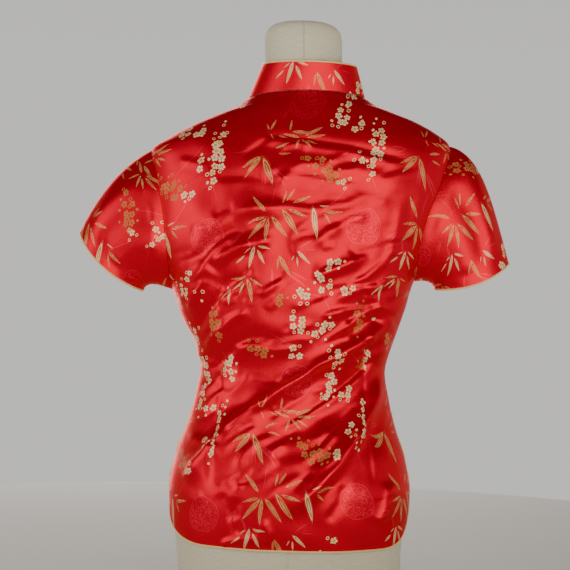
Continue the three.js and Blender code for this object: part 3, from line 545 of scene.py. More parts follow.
@dataclass
class Sheet:
    """One layer of cloth as a grid of points.

    Attributes:
        points: rows by columns by 3, millimetres; a closed sheet repeats its first column at its end.
        flip: whether columns across rows turn the faces inward.
        closed: whether the columns go all the way round.
        cloth: rows by columns by 2, places on the flat cloth in millimetres.
        shift: rows - 1 by columns - 1, how far each face's place on the flat cloth moves across.
    """

    points: Array
    flip: bool = False
    closed: bool = False
    cloth: Array = field(default_factory=lambda: np.zeros((0, 0, 2)))
    shift: Array = field(default_factory=lambda: np.zeros((0, 0)))

    def outs(self) -> Array:
        """Gives the ways out of the cloth at the grid's points."""
        if self.closed:
            ring = self.points[:, :-1]
            along = np.roll(ring, -1, axis=1) - np.roll(ring, 1, axis=1)
            along = np.concatenate([along, along[:, :1]], axis=1)
        else:
            along = np.gradient(self.points, axis=1)
        outs = unit(np.cross(along, np.gradient(self.points, axis=0)))
        return -outs if self.flip else outs

    def lay_flat(self, centre: int, row: int, origin: tuple[float, float], way: float, rise: float) -> None:
        """Works out where each point lies on the flat cloth.

        Args:
            centre: the column that lies on the grain.
            row: the row that lies across the grain.
            origin: the cloth's place where the two cross.
            way: 1 where the columns run to the right on the cloth, -1 where to the left.
            rise: 1 where the rows run up the cloth, -1 where down.
        """
        steps = np.linalg.norm(np.diff(self.points, axis=1), axis=-1)
        across = np.concatenate([np.zeros((len(steps), 1)), np.cumsum(steps, axis=1)], axis=1)
        across -= across[:, centre : centre + 1]
        climb = np.diff(self.points, axis=0)
        # Along a body panel's slanted columns only the way up counts; a sleeve's length is all its own.
        lengths = np.linalg.norm(climb if self.closed else climb[..., 1:], axis=-1)
        up = np.concatenate([np.zeros((1, lengths.shape[1])), np.cumsum(lengths, axis=0)], axis=0)
        up -= up[row : row + 1]
        self.cloth = np.stack([origin[0] + way * across, origin[1] + rise * up], axis=-1)
        self.shift = np.zeros(np.array(self.points.shape[:2]) - 1)

    def take_in(self, darts: Iterable[Dart], way: float) -> None:
        """Moves the pattern past each dart by the cloth that the dart takes in.

        Args:
            darts: the panel's darts.
            way: 1 where x grows to the right of the cloth, -1 where to the left.
        """
        corner = self.points
        middle = (corner[:-1, :-1] + corner[1:, :-1] + corner[:-1, 1:] + corner[1:, 1:]) / 4
        x, z = middle[..., 0], middle[..., 2]
        for dart in darts:
            seam = dart.across(z)
            outward = np.sign(seam)
            beyond = (x - seam) * outward > 0
            self.shift += np.where(beyond, way * outward * dart.taken(z), 0)

    def area(self) -> float:
        """Gives the sheet's area in square metres."""
        along = np.diff(self.points, axis=1)[:-1]
        up = np.diff(self.points, axis=0)[:, :-1]
        return float(np.linalg.norm(np.cross(along, up), axis=-1).sum()) * MM * MM

    def edge(self, places: Sequence[tuple[int, int]]) -> tuple[Array, Array]:
        """Gives the points and the ways out at grid places along an edge."""
        rows, columns = np.array(places).T
        return self.points[rows, columns], self.outs()[rows, columns]


def hex_colour(code: str) -> tuple[float, float, float, float]:
    """Turns an sRGB hex colour into linear values with full alpha."""
    parts = [int(code[i : i + 2], 16) / 255 for i in (1, 3, 5)]
    linear = [c / 12.92 if c <= 0.04045 else ((c + 0.055) / 1.055) ** 2.4 for c in parts]
    return (*linear, 1.0)


MATH, VECTOR_MATH, MIX = "ShaderNodeMath", "ShaderNodeVectorMath", "ShaderNodeMix"


def add_node(
    tree: Tree,
    kind: str,
    *values: object,
    to: dict[int | str, object] | None = None,
    output: int | str = 0,
    **settings: object,
) -> Socket:
    """Adds a node with its settings and links.

    Args:
        tree: the node tree.
        kind: the node's type name.
        values: for the first input sockets in turn, a value, a socket to link, or None to leave it.
        to: the same for further input sockets, by number or name.
        output: the number or name of the output socket to give back.
        settings: attributes to set on the node.

    Returns:
        One output socket of the new node.
    """
    node = tree.nodes.new(kind)
    for name, value in settings.items():
        setattr(node, name, value)
    for key, value in (dict(enumerate(values)) | (to or {})).items():
        if isinstance(value, Socket):
            tree.links.new(value, node.inputs[key])
        elif value is not None:
            node.inputs[key].default_value = value
    return node.outputs[output]


def new_material(name: str) -> tuple[Material, Tree, bpy.types.Node]:
    """Makes an empty node material and gives it, its tree and its main shader."""
    material = bpy.data.materials.new(name)
    material.use_nodes = True
    tree = material.node_tree
    tree.nodes.clear()
    shader = tree.nodes.new("ShaderNodeBsdfPrincipled")
    output = tree.nodes.new("ShaderNodeOutputMaterial")
    tree.links.new(shader.outputs["BSDF"], output.inputs["Surface"])
    return material, tree, shader


class Tone(Enum):
    """How a motif is woven."""

    BRIGHT = "bright gold weft"
    OLD = "darker gold weft"
    SELF = "red on red"


@dataclass(frozen=True)
class Leaf:
    """A pointed leaf: its middle on the repeat, its turn from straight down, its length and width."""

    middle: tuple[float, float]
    turn: float
    length: float
    width: float


@dataclass(frozen=True)
class Fan:
    """Bamboo leaves that spread from one twig.

    Attributes:
        place: the twig on the repeat, millimetres.
        tone: how its leaves are woven.
        leaves: for each leaf its turn from straight down, its length and how far out it starts.
    """

    place: tuple[float, float]
    tone: Tone
    leaves: tuple[tuple[float, float, float], ...]

    def spread(self, slimness: float) -> list[Leaf]:
        """Places the leaves; slimness is their width as a share of their length."""
        placed = []
        for turn, length, start in self.leaves:
            reach = start + length / 2
            x = self.place[0] + math.sin(math.radians(turn)) * reach
            y = self.place[1] - math.cos(math.radians(turn)) * reach
            placed.append(Leaf((x, y), turn, length, length * slimness))
        return placed


@dataclass(frozen=True)
class Spray:
    """A patch of the repeat that plum blossom fills: its middle, half sizes, turn and tone."""

    place: tuple[float, float]
    half: tuple[float, float]
    turn: float
    tone: Tone


REPEAT = (204.0, 372.0)
FANS = (
    Fan((84, 326), Tone.OLD, ((158, 18, 2), (-160, 12, 2), (25, 11, 3), (68, 13, 12))),
    Fan((110, 325), Tone.OLD, ((176, 17, 1), (88, 28, 2))),
    Fan(
        (123, 317),
        Tone.OLD,
        ((115, 28, 6), (93, 26, 8), (-104, 23, 0), (-18, 19, 2), (40, 21, 2), (64, 18, 8)),
    ),
    Fan((75, 297), Tone.OLD, ((-62, 30, 1), (-40, 36, 1), (20, 47, 0), (84, 17, 20), (108, 21, 16))),
    Fan((90, 215), Tone.OLD, ((-142, 32, 6), (-74, 24, 4), (-40, 38, 2), (-4, 35, 3), (38, 40, 4))),
    Fan((105, 221), Tone.OLD, ((34, 47, 0), (69, 29, 9), (168, 18, 6), (148, 20, 10), (112, 27, 14))),
    Fan((145, 222), Tone.BRIGHT, ((12, 46, 0), (96, 13, 8))),
    Fan((159, 217), Tone.OLD, ((86, 27, 0), (36, 18, 2))),
    Fan((75, 176), Tone.BRIGHT, ((-12, 33, 0), (-56, 10, 6), (68, 20, 3), (27, 24, 7), (-46, 17, 16))),
    Fan((106, 161), Tone.OLD, ((28, 35, 0), (-4, 17, 3))),
    Fan((129, 165), Tone.BRIGHT, ((43, 27, 0), (4, 14, 8), (-26, 8, 7))),
    Fan((65, 135), Tone.OLD, ((-83, 24, 0), (12, 37, 1), (56, 22, 4))),
    Fan((65, 135), Tone.BRIGHT, ((-46, 24, 6), (-24, 17, 9))),
    Fan((41, 120), Tone.BRIGHT, ((-34, 20, 1), (2, 24, 1))),
)
SELF_FANS = (
    Fan((60, 306), Tone.SELF, ((-82, 22, 4), (-60, 16, 2))),
    Fan((76, 290), Tone.SELF, ((0, 26, 6), (38, 34, 16), (46, 30, 18), (8, 30, 4))),
    Fan((100, 345), Tone.SELF, ((150, 20, 0), (176, 14, 2), (-150, 14, 0))),
    Fan((129, 166), Tone.SELF, ((86, 15, 12), (120, 20, 4))),
    Fan((60, 200), Tone.SELF, ((-38, 24, 4), (-52, 18, 6), (20, 30, 12))),
    Fan((98, 152), Tone.SELF, ((0, 30, 8), (52, 34, 22), (60, 26, 26))),
    Fan((41, 120), Tone.SELF, ((-66, 13, 2), (-52, 16, 4))),
)
# Bare twigs, as very slim leaves: middle, turn and length.
TWIGS = (
    ((186, 300), 128, 70),
    ((196, 330), 110, 46),
    ((176, 236), 138, 64),
    ((12, 262), 22, 60),
    ((26, 330), 140, 50),
    ((150, 108), 74, 60),
    ((170, 90), 20, 54),
    ((112, 50), 62, 44),
    ((30, 30), 18, 50),
    ((94, 240), 172, 36),
)
SPRAYS = (
    Spray((174, 350), (24, 9), 75, Tone.BRIGHT),
    Spray((17, 302), (44, 11), 82, Tone.BRIGHT),
    Spray((196, 338), (13, 9), 30, Tone.BRIGHT),
    Spray((159, 267), (24, 13), -32, Tone.OLD),
    Spray((133, 284), (11, 6), -40, Tone.OLD),
    Spray((182, 256), (9, 9), 0, Tone.BRIGHT),
    Spray((200, 290), (9, 10), 0, Tone.BRIGHT),
    Spray((177, 148), (12, 7), 20, Tone.BRIGHT),
    Spray((164, 122), (19, 10), -52, Tone.BRIGHT),
    Spray((194, 112), (10, 7), 0, Tone.BRIGHT),
    Spray((106, 103), (11, 8), 0, Tone.OLD),
    Spray((139, 106), (13, 9), -20, Tone.BRIGHT),
    Spray((130, 70), (18, 11), -68, Tone.BRIGHT),
    Spray((163, 62), (19, 11), 50, Tone.BRIGHT),
    Spray((81, 39), (17, 10), -32, Tone.OLD),
    Spray((128, 36), (11, 10), 0, Tone.BRIGHT),
    Spray((181, 20), (22, 10), -70, Tone.BRIGHT),
    Spray((39, 14), (11, 16), 0, Tone.BRIGHT),
    Spray((9, 72), (15, 22), 0, Tone.OLD),
    Spray((22, 10), (11, 14), 0, Tone.OLD),
)
ROUNDELS = ((129.1, 366.8), (10.3, 196.0))
ROUNDEL_RADIUS = 23.0
LEAF_WIDTH_SHARE = 0.185
LEAF_TAPER = 0.4
VEIN_STEP = 0.5


@dataclass(frozen=True)
class BrocadeSatin:
    """Silk-look brocade satin: a dyed ground of long warp floats, with figures of metal-wrapped weft.

    The floats give the eye broad soft highlights of the cloth's own red and deep shade in the folds; the
    weft figures are paler, a little rougher, and veined where the ground shows between their floats.
    """

    name: str = "red_brocade_satin"
    ground: str = "#da0028"
    ground_shade: str = "#c60020"
    # A lighter red painted as the sheen of the red-on-red pattern, which is woven in the ground's own red.
    self_red_painted_sheen: str = "#ff2a48"
    # The darker gold tones (the _shade colours) are painted shade of the metal weft and also the gaps between
    # its floats; the lighter ones are its lit tones.
    bright: str = "#fff4c8"
    bright_shade: str = "#e6b766"
    old: str = "#ffd48c"
    old_shade: str = "#a8642e"
    blossom: str = "#fff3cc"
    blossom_old: str = "#dd8a56"
    ground_rough: float = 0.31
    weft_rough: float = 0.4
    ground_metal: float = 0.68
    weft_metal: float = 0.28
    warp_mm: float = 0.9  # real warp lines are 0.2 mm apart, too fine to show
    weft_mm: float = 1.5  # bound weft floats, drawn twice too long so that they show
    blossom_spacing: float = 9.4
    petal_reach: float = 3.1
    petal_radius: float = 2.0
    petal_half_width: float = 1.74  # the petals are cut apart here, so that the ground shows between them
    heart_radius: float = 1.25
    bud_radius: float = 1.9
    spray_core: float = 0.98  # share of a spray's size up to which it has open blossom
    spray_rim: float = 1.65  # and up to which it has buds and rings

    def make(self) -> Material:
        """Makes the material; it reads the piece's own map of the flat cloth."""
        material, tree, shader = new_material(self.name)
        places = add_node(tree, "ShaderNodeUVMap", uv_map="flat_cloth")
        # Millimetres on the flat cloth; the third number stays 1, so that a dot product can shift too.
        flat = add_node(tree, VECTOR_MATH, places, (1000, 1000, 0), (0, 0, 1), operation="MULTIPLY_ADD")
        tile = add_node(tree, VECTOR_MATH, flat, (*REPEAT, 2), (0, 0, 0), operation="WRAP")
        bright = self._leaves(tree, tile, [fan for fan in FANS if fan.tone is Tone.BRIGHT])
        old = self._leaves(tree, tile, [fan for fan in FANS if fan.tone is Tone.OLD])
        lines = add_node(
            tree, MATH, self._ghosts(tree, tile), self._roundels(tree, flat), operation="MAXIMUM"
        )
        cream, copper = self._blossoms(tree, flat)
        # Painted gleam: a slow noise, times the weft float bands, moves each gold from its darker tone to its
        # lit tone, so it looks brighter where light would catch the metal weft.
        painted_gleam_noise = add_node(tree, "ShaderNodeTexNoise", flat, to={2: 0.06}, noise_dimensions="2D")
        floats = add_node(
            tree,
            "ShaderNodeTexWave",
            flat,
            to={1: 0.314 / self.weft_mm, 2: 1.4, 3: 1.0, 4: 0.5},
            output=1,
            wave_type="BANDS",
            bands_direction="Y",
        )
        gleam = add_node(tree, MATH, painted_gleam_noise, floats, 0.35, operation="MULTIPLY_ADD")
        gleam = add_node(tree, "ShaderNodeMapRange", gleam, 0.35, 0.95)
        colour = self._ground(tree, flat)
        layers = (
            # The red-on-red leaves, twigs and roundels are real pattern; their lighter red is painted sheen.
            (add_node(tree, MATH, lines, 0.45, operation="MULTIPLY"), self.self_red_painted_sheen, self.self_red_painted_sheen),
            (copper, self.old_shade, self.blossom_old),
            (old, self.old_shade, self.old),
            (cream, self.bright_shade, self.blossom),
            (bright, self.bright_shade, self.bright),
        )
        gold = None
        for mask, shade, light in layers:
            tone = add_node(
                tree, MIX, gleam, to={6: hex_colour(shade), 7: hex_colour(light)}, output=2, data_type="RGBA"
            )
            colour = add_node(tree, MIX, mask, to={6: colour, 7: tone}, output=2, data_type="RGBA")
            if shade != light:
                gold = mask if gold is None else add_node(tree, MATH, gold, mask, operation="MAXIMUM")
        rough = add_node(tree, "ShaderNodeMapRange", gold, None, None, self.ground_rough, self.weft_rough)
        metal = add_node(tree, "ShaderNodeMapRange", gold, None, None, self.ground_metal, self.weft_metal)
        warp = add_node(
            tree,
            "ShaderNodeTexWave",
            flat,
            to={1: 0.314 / self.warp_mm, 2: 1.5},
            output=1,
            wave_type="BANDS",
            bands_direction="X",
        )
        raised = add_node(tree, MATH, gold, floats, 0.6, operation="MULTIPLY_ADD")
        raised = add_node(tree, MATH, gold, raised, warp, operation="MULTIPLY_ADD")
        bump = add_node(tree, "ShaderNodeBump", 0.12, 0.0002, to={"Height": raised})
        tree.links.new(colour, shader.inputs["Base Color"])
        tree.links.new(rough, shader.inputs["Roughness"])
        tree.links.new(metal, shader.inputs["Metallic"])
        tree.links.new(bump, shader.inputs["Normal"])
        shader.inputs["Specular Tint"].default_value = hex_colour("#ff2a2a")
        shader.inputs["Sheen Weight"].default_value = 0.03
        shader.inputs["Sheen Roughness"].default_value = 0.35
        shader.inputs["Sheen Tint"].default_value = hex_colour("#ff4050")
        return material

    def _ground(self, tree: Tree, flat: Socket) -> Socket:
        """Makes the satin ground: two near reds in slight clouds and faint warp streaks."""
        cloud = add_node(tree, "ShaderNodeTexNoise", flat, to={2: 0.02}, noise_dimensions="2D")
        stretched = add_node(tree, VECTOR_MATH, flat, (0.9, 0.03, 1), operation="MULTIPLY")
        streak = add_node(tree, "ShaderNodeTexNoise", stretched, to={2: 1.0}, noise_dimensions="2D")
        both = add_node(tree, MATH, cloud, streak, operation="MULTIPLY")
        reds = {6: hex_colour(self.ground), 7: hex_colour(self.ground_shade)}
        return add_node(tree, MIX, both, to=reds, output=2, data_type="RGBA")

    def _leaf(self, tree: Tree, tile: Socket, so_far: Socket | None, leaf: Leaf) -> Socket:
        """Adds a leaf between two arcs: below 1 inside it, with level lines from stem to tip.

        Args:
            tree: the node tree.
            tile: the place on the repeat.
            so_far: the level of the leaves so far.
            leaf: the leaf.

        Returns:
            The least level of all.
        """
        turn = math.radians(leaf.turn)
        way, cross = (math.sin(turn), -math.cos(turn)), (math.cos(turn), math.sin(turn))
        x, y = leaf.middle
        half, narrow = leaf.length / 2, leaf.width / 2
        row = (way[0] / half, way[1] / half, -(x * way[0] + y * way[1]) / half)
        along = add_node(tree, VECTOR_MATH, tile, row, output=1, operation="DOT_PRODUCT")
        row = (cross[0] / narrow, cross[1] / narrow, -(x * cross[0] + y * cross[1]) / narrow)
        across = add_node(tree, VECTOR_MATH, tile, row, output=1, operation="DOT_PRODUCT")
        side = add_node(tree, MATH, across, operation="ABSOLUTE")
        slimmer = add_node(tree, MATH, along, LEAF_TAPER, 1.0, operation="MULTIPLY_ADD")
        slimmer = add_node(tree, MATH, slimmer, 0.2, operation="MAXIMUM")
        square = add_node(tree, MATH, along, along, operation="MULTIPLY")
        level = add_node(tree, MATH, side, slimmer, square, operation="MULTIPLY_ADD")
        return level if so_far is None else add_node(tree, MATH, so_far, level, operation="MINIMUM")

    def _leaves(self, tree: Tree, tile: Socket, fans: Sequence[Fan]) -> Socket:
        """Makes the mask of fans of leaves, with the ground showing as veins between the weft floats."""
        least = None
        for fan in fans:
            for leaf in fan.spread(LEAF_WIDTH_SHARE):
                least = self._leaf(tree, tile, least, leaf)
        inside = add_node(tree, MATH, least, 1.0, operation="LESS_THAN")
        wave = add_node(tree, MATH, least, 2 * math.pi / VEIN_STEP, operation="MULTIPLY")
        wave = add_node(tree, MATH, wave, operation="SINE")
        show = add_node(tree, "ShaderNodeMapRange", wave, -0.55, 0.25, 0.0, 1.0)
        return add_node(tree, MATH, inside, show, operation="MULTIPLY")

    def _ghosts(self, tree: Tree, tile: Socket) -> Socket:
        """Makes the mask of the red-on-red leaves and twigs."""
        least = None
        for fan in SELF_FANS:
            for leaf in fan.spread(0.1):
                least = self._leaf(tree, tile, least, leaf)
        for middle, turn, length in TWIGS:
            least = self._leaf(tree, tile, least, Leaf(middle, turn, length, 1.3))
        return add_node(tree, MATH, least, 1.0, operation="LESS_THAN")

    def _roundels(self, tree: Tree, flat: Socket) -> Socket:
        """Makes the line work of the self-red roundels: a fine ring round uneven curling scrolls."""
        half = (REPEAT[0] / 2, REPEAT[1] / 2, 1)
        radius = None
        for place in ROUNDELS:
            moved = add_node(tree, VECTOR_MATH, flat, (*place, 1), operation="SUBTRACT")
            wrapped = add_node(tree, VECTOR_MATH, moved, half, tuple(-h for h in half), operation="WRAP")
            here = add_node(tree, VECTOR_MATH, wrapped, output=1, operation="LENGTH")
            radius = here if radius is None else add_node(tree, MATH, radius, here, operation="MINIMUM")
        curl = add_node(tree, "ShaderNodeTexNoise", flat, to={2: 0.13, 3: 1.0}, noise_dimensions="2D")
        scroll = add_node(tree, MATH, curl, 26.0, operation="MULTIPLY")
        scroll = add_node(tree, MATH, scroll, operation="SINE")
        scroll = add_node(tree, MATH, scroll, 0.35, operation="GREATER_THAN")
        within = add_node(tree, MATH, radius, ROUNDEL_RADIUS - 2.2, operation="LESS_THAN")
        scroll = add_node(tree, MATH, scroll, within, operation="MULTIPLY")
        ring = add_node(tree, MATH, radius, ROUNDEL_RADIUS - 0.6, 0.7, operation="COMPARE")
        return add_node(tree, MATH, scroll, ring, operation="MAXIMUM")

    def _near_sprays(self, tree: Tree, place: Socket, tone: Tone) -> Socket:
        """Gives how near a place is to the sprays of a tone: below 1 inside one."""
        least = None
        for spray in (spray for spray in SPRAYS if spray.tone is tone):
            turn = math.radians(spray.turn)
            x, y = spray.place
            levels = []
            ways = ((math.cos(turn), math.sin(turn)), (-math.sin(turn), math.cos(turn)))
            for half, way in zip(spray.half, ways):
                row = (way[0] / half, way[1] / half, -(x * way[0] + y * way[1]) / half)
                levels.append(add_node(tree, VECTOR_MATH, place, row, output=1, operation="DOT_PRODUCT"))
            square = add_node(tree, MATH, levels[1], levels[1], operation="MULTIPLY")
            level = add_node(tree, MATH, levels[0], levels[0], square, operation="MULTIPLY_ADD")
            least = level if least is None else add_node(tree, MATH, least, level, operation="MINIMUM")
        return least

    def _blossoms(self, tree: Tree, flat: Socket) -> tuple[Socket, Socket]:
        """Makes the masks of the bright and the darker plum blossom, with buds and small rings among it."""
        cells = add_node(
            tree,
            "ShaderNodeTexVoronoi",
            flat,
            to={2: 1 / self.blossom_spacing, 8: 0.6},
            output="Position",
            voronoi_dimensions="2D",
            feature="F1",
        )
        # The blossom sits at its cell's own point; lifting that point's third number to 1 keeps the shift.
        place = add_node(tree, VECTOR_MATH, cells, (1, 1, 0), (0, 0, 1), operation="MULTIPLY_ADD")
        local = add_node(tree, VECTOR_MATH, flat, place, operation="SUBTRACT")
        chance = add_node(tree, "ShaderNodeSeparateColor", cells.node.outputs["Color"]).node.outputs
        size = add_node(tree, "ShaderNodeMapRange", chance[2], None, None, 1.16, 0.94)
        local = add_node(tree, VECTOR_MATH, local, to={"Scale": size}, operation="SCALE")
        radius = add_node(tree, VECTOR_MATH, local, output=1, operation="LENGTH")
        parts = add_node(tree, "ShaderNodeSeparateXYZ", local).node.outputs
        turn = add_node(tree, MATH, parts[1], parts[0], operation="ARCTAN2")
        turn = add_node(tree, MATH, chance[0], 6.0, turn, operation="MULTIPLY_ADD")
        # Five petals: the angle is folded into one petal's share, and the distance taken to its middle.
        fifth = math.pi / 5
        share = add_node(tree, MATH, turn, fifth, -fifth, operation="WRAP")
        along = add_node(tree, MATH, share, operation="COSINE")
        along = add_node(tree, MATH, along, radius, operation="MULTIPLY")
        across = add_node(tree, MATH, share, operation="SINE")
        across = add_node(tree, MATH, across, radius, operation="MULTIPLY")
        along = add_node(tree, MATH, along, self.petal_reach, operation="SUBTRACT")
        square = add_node(tree, MATH, across, across, operation="MULTIPLY")
        petal = add_node(tree, MATH, along, along, square, operation="MULTIPLY_ADD")
        petal = add_node(tree, MATH, petal, self.petal_radius**2, operation="LESS_THAN")
        seam = add_node(tree, MATH, across, operation="ABSOLUTE")
        seam = add_node(tree, MATH, seam, self.petal_half_width, operation="LESS_THAN")
        heart = add_node(tree, MATH, radius, self.heart_radius, 0.38, operation="COMPARE")
        open_heart = add_node(tree, MATH, 1.0, heart, operation="SUBTRACT")
        centre = add_node(tree, MATH, radius, self.heart_radius, operation="LESS_THAN")
        flower = add_node(tree, MATH, petal, seam, operation="MULTIPLY")
        flower = add_node(tree, MATH, flower, centre, operation="MAXIMUM")
        flower = add_node(tree, MATH, flower, open_heart, operation="MULTIPLY")
        solid = add_node(tree, MATH, radius, self.bud_radius, operation="LESS_THAN")
        ring = add_node(tree, MATH, radius, self.bud_radius + 0.1, 0.5, operation="COMPARE")
        choice = add_node(tree, MATH, chance[1], 0.42, operation="LESS_THAN")
        bud = add_node(tree, MIX, choice, to={2: ring, 3: solid}, data_type="FLOAT")
        wrapped = add_node(tree, VECTOR_MATH, place, (*REPEAT, 2), (0, 0, 0), operation="WRAP")
        masks = []
        for tone in (Tone.BRIGHT, Tone.OLD):
            near = self._near_sprays(tree, wrapped, tone)
            ragged = add_node(tree, MATH, chance[1], 0.7, near, operation="MULTIPLY_ADD")
            core = add_node(tree, MATH, ragged, self.spray_core, operation="LESS_THAN")
            rim = add_node(tree, MATH, ragged, self.spray_rim, operation="LESS_THAN")
            rim = add_node(tree, MATH, rim, core, operation="SUBTRACT")
            inner = add_node(tree, MATH, flower, core, operation="MULTIPLY")
            masks.append(add_node(tree, MATH, bud, rim, inner, operation="MULTIPLY_ADD"))
        return masks[0], masks[1]


def mesh_object(
    name: str,
    points: Array,
    faces: Array | list,
    materials: Sequence[Material],
    uv: Array | None = None,
    uv_name: str = "flat_cloth",
    finish: Array | None = None,
) -> Thing:
    """Makes a smooth mesh object from points in millimetres.

    Args:
        name: the object's name.
        points: its vertices.
        faces: vertex numbers of each face.
        materials: its materials.
        uv: places on the map, one for each face corner, in millimetres.
        uv_name: the map's name.
        finish: each face's material number.

    Returns:
        The object, linked to the scene.
    """
    mesh = bpy.data.meshes.new(name)
    corners = faces.tolist() if isinstance(faces, np.ndarray) else faces
    mesh.from_pydata((np.asarray(points) * MM).tolist(), [], corners)
    for material in materials:
        mesh.materials.append(material)
    if uv is not None:
        layer = mesh.uv_layers.new(name=uv_name)
        layer.data.foreach_set("uv", (np.asarray(uv, dtype=np.float32) * MM).ravel())
    if finish is not None:
        mesh.polygons.foreach_set("material_index", np.asarray(finish, dtype=np.int32))
    mesh.polygons.foreach_set("use_smooth", np.ones(len(mesh.polygons), dtype=bool))
    mesh.update()
    piece = bpy.data.objects.new(name, mesh)
    bpy.context.scene.collection.objects.link(piece)
    return piece


def sheet_object(name: str, sheet: Sheet, right: Material, wrong: Material) -> Thing:
    """Makes a sheet of cloth with its thickness, its right side outward.

    Args:
        name: the object's name.
        sheet: the cloth's outer side.
        right: the finish of the right side.
        wrong: the finish of the wrong side and the cut edges.

    Returns:
        The object.
    """
    rows, columns = sheet.points.shape[:2]
    width = columns - 1 if sheet.closed else columns
    outer = sheet.points[:, :width]
    inner = outer - sheet.outs()[:, :width] * CLOTH_WALL
    points = np.concatenate([outer.reshape(-1, 3), inner.reshape(-1, 3)])
    back = rows * width
    i, j = (grid.ravel() for grid in np.meshgrid(np.arange(rows - 1), np.arange(columns - 1), indexing="ij"))
    k = (j + 1) % width
    quads = np.stack([i * width + j, i * width + k, (i + 1) * width + k, (i + 1) * width + j], axis=1)
    cloth = sheet.cloth
    corners = np.stack([cloth[i, j], cloth[i, j + 1], cloth[i + 1, j + 1], cloth[i + 1, j]], axis=1)
    corners[..., 0] += sheet.shift[i, j][:, None]
    j = np.arange(columns - 1)
    k = (j + 1) % width
    top = (rows - 1) * width
    rims = [
        np.stack([back + j, back + k, k, j], axis=1),
        np.stack([top + j, top + k, back + top + k, back + top + j], axis=1),
    ]
    rim_cloth = [
        np.stack([cloth[0, j], cloth[0, j + 1], cloth[0, j + 1], cloth[0, j]], axis=1),
        np.stack([cloth[-1, j], cloth[-1, j + 1], cloth[-1, j + 1], cloth[-1, j]], axis=1),
    ]
    if not sheet.closed:
        i = np.arange(rows - 1)
        low, high, end = i * width, (i + 1) * width, width - 1
        rims.append(np.stack([back + low, low, high, back + high], axis=1))
        rims.append(np.stack([low + end, back + low + end, back + high + end, high + end], axis=1))
        rim_cloth.append(np.stack([cloth[i, 0], cloth[i, 0], cloth[i + 1, 0], cloth[i + 1, 0]], axis=1))
        rim_cloth.append(np.stack([cloth[i, -1], cloth[i, -1], cloth[i + 1, -1], cloth[i + 1, -1]], axis=1))
    inner_quads = back + quads[:, ::-1]
    faces = np.concatenate([quads, inner_quads, *rims])
    uv = np.concatenate([corners, corners[:, ::-1], *rim_cloth])
    if sheet.flip:
        faces, uv = faces[:, ::-1], uv[:, ::-1]
    finish = np.ones(len(faces), dtype=np.int32)
    finish[: len(quads)] = 0
    piece = mesh_object(name, points, faces, [right, wrong], uv.reshape(-1, 2), finish=finish)
    mark_rim_sharp(piece.data, len(quads))
    return piece


def mark_rim_sharp(mesh: bpy.types.Mesh, side: int) -> None:
    """Marks the edges between a sheet's sides and its rims sharp; side is the faces on each side."""
    counts = np.zeros(len(mesh.edges), dtype=np.int32)
    loops = np.zeros(len(mesh.loops), dtype=np.int32)
    mesh.loops.foreach_get("edge_index", loops)
    np.add.at(counts, loops[side * 2 * 4 :], 1)
    sides = np.zeros(len(mesh.edges), dtype=np.int32)
    np.add.at(sides, loops[: side * 2 * 4], 1)
    mesh.edges.foreach_set("use_edge_sharp", (counts > 0) & (sides > 0))


def even_path(path: Array, outs: Array, step: float, closed: bool) -> tuple[Array, Array]:
    """Places points evenly along a path.

    Args:
        path: the path's points.
        outs: the ways out of the cloth there.
        step: the wanted distance between points.
        closed: whether the path comes back to its start.

    Returns:
        The even points and the ways out there.
    """
    if closed:
        path, outs = np.concatenate([path, path[:1]]), np.concatenate([outs, outs[:1]])
    length = np.concatenate([[0], np.cumsum(np.linalg.norm(np.diff(path, axis=0), axis=1))])
    count = max(4, round(length[-1] / step))
    places = np.linspace(0, length[-1], count + 1)
    if closed:
        places = places[:-1]
    even = np.stack([np.interp(places, length, path[:, axis]) for axis in range(3)], axis=1)
    ways = np.stack([np.interp(places, length, outs[:, axis]) for axis in range(3)], axis=1)
    return even, unit(ways)


def along_path(path: Array, closed: bool) -> Array:
    """Gives the ways along a path at its points."""
    if closed:
        return unit(np.roll(path, -1, axis=0) - np.roll(path, 1, axis=0))
    return unit(np.gradient(path, axis=0))


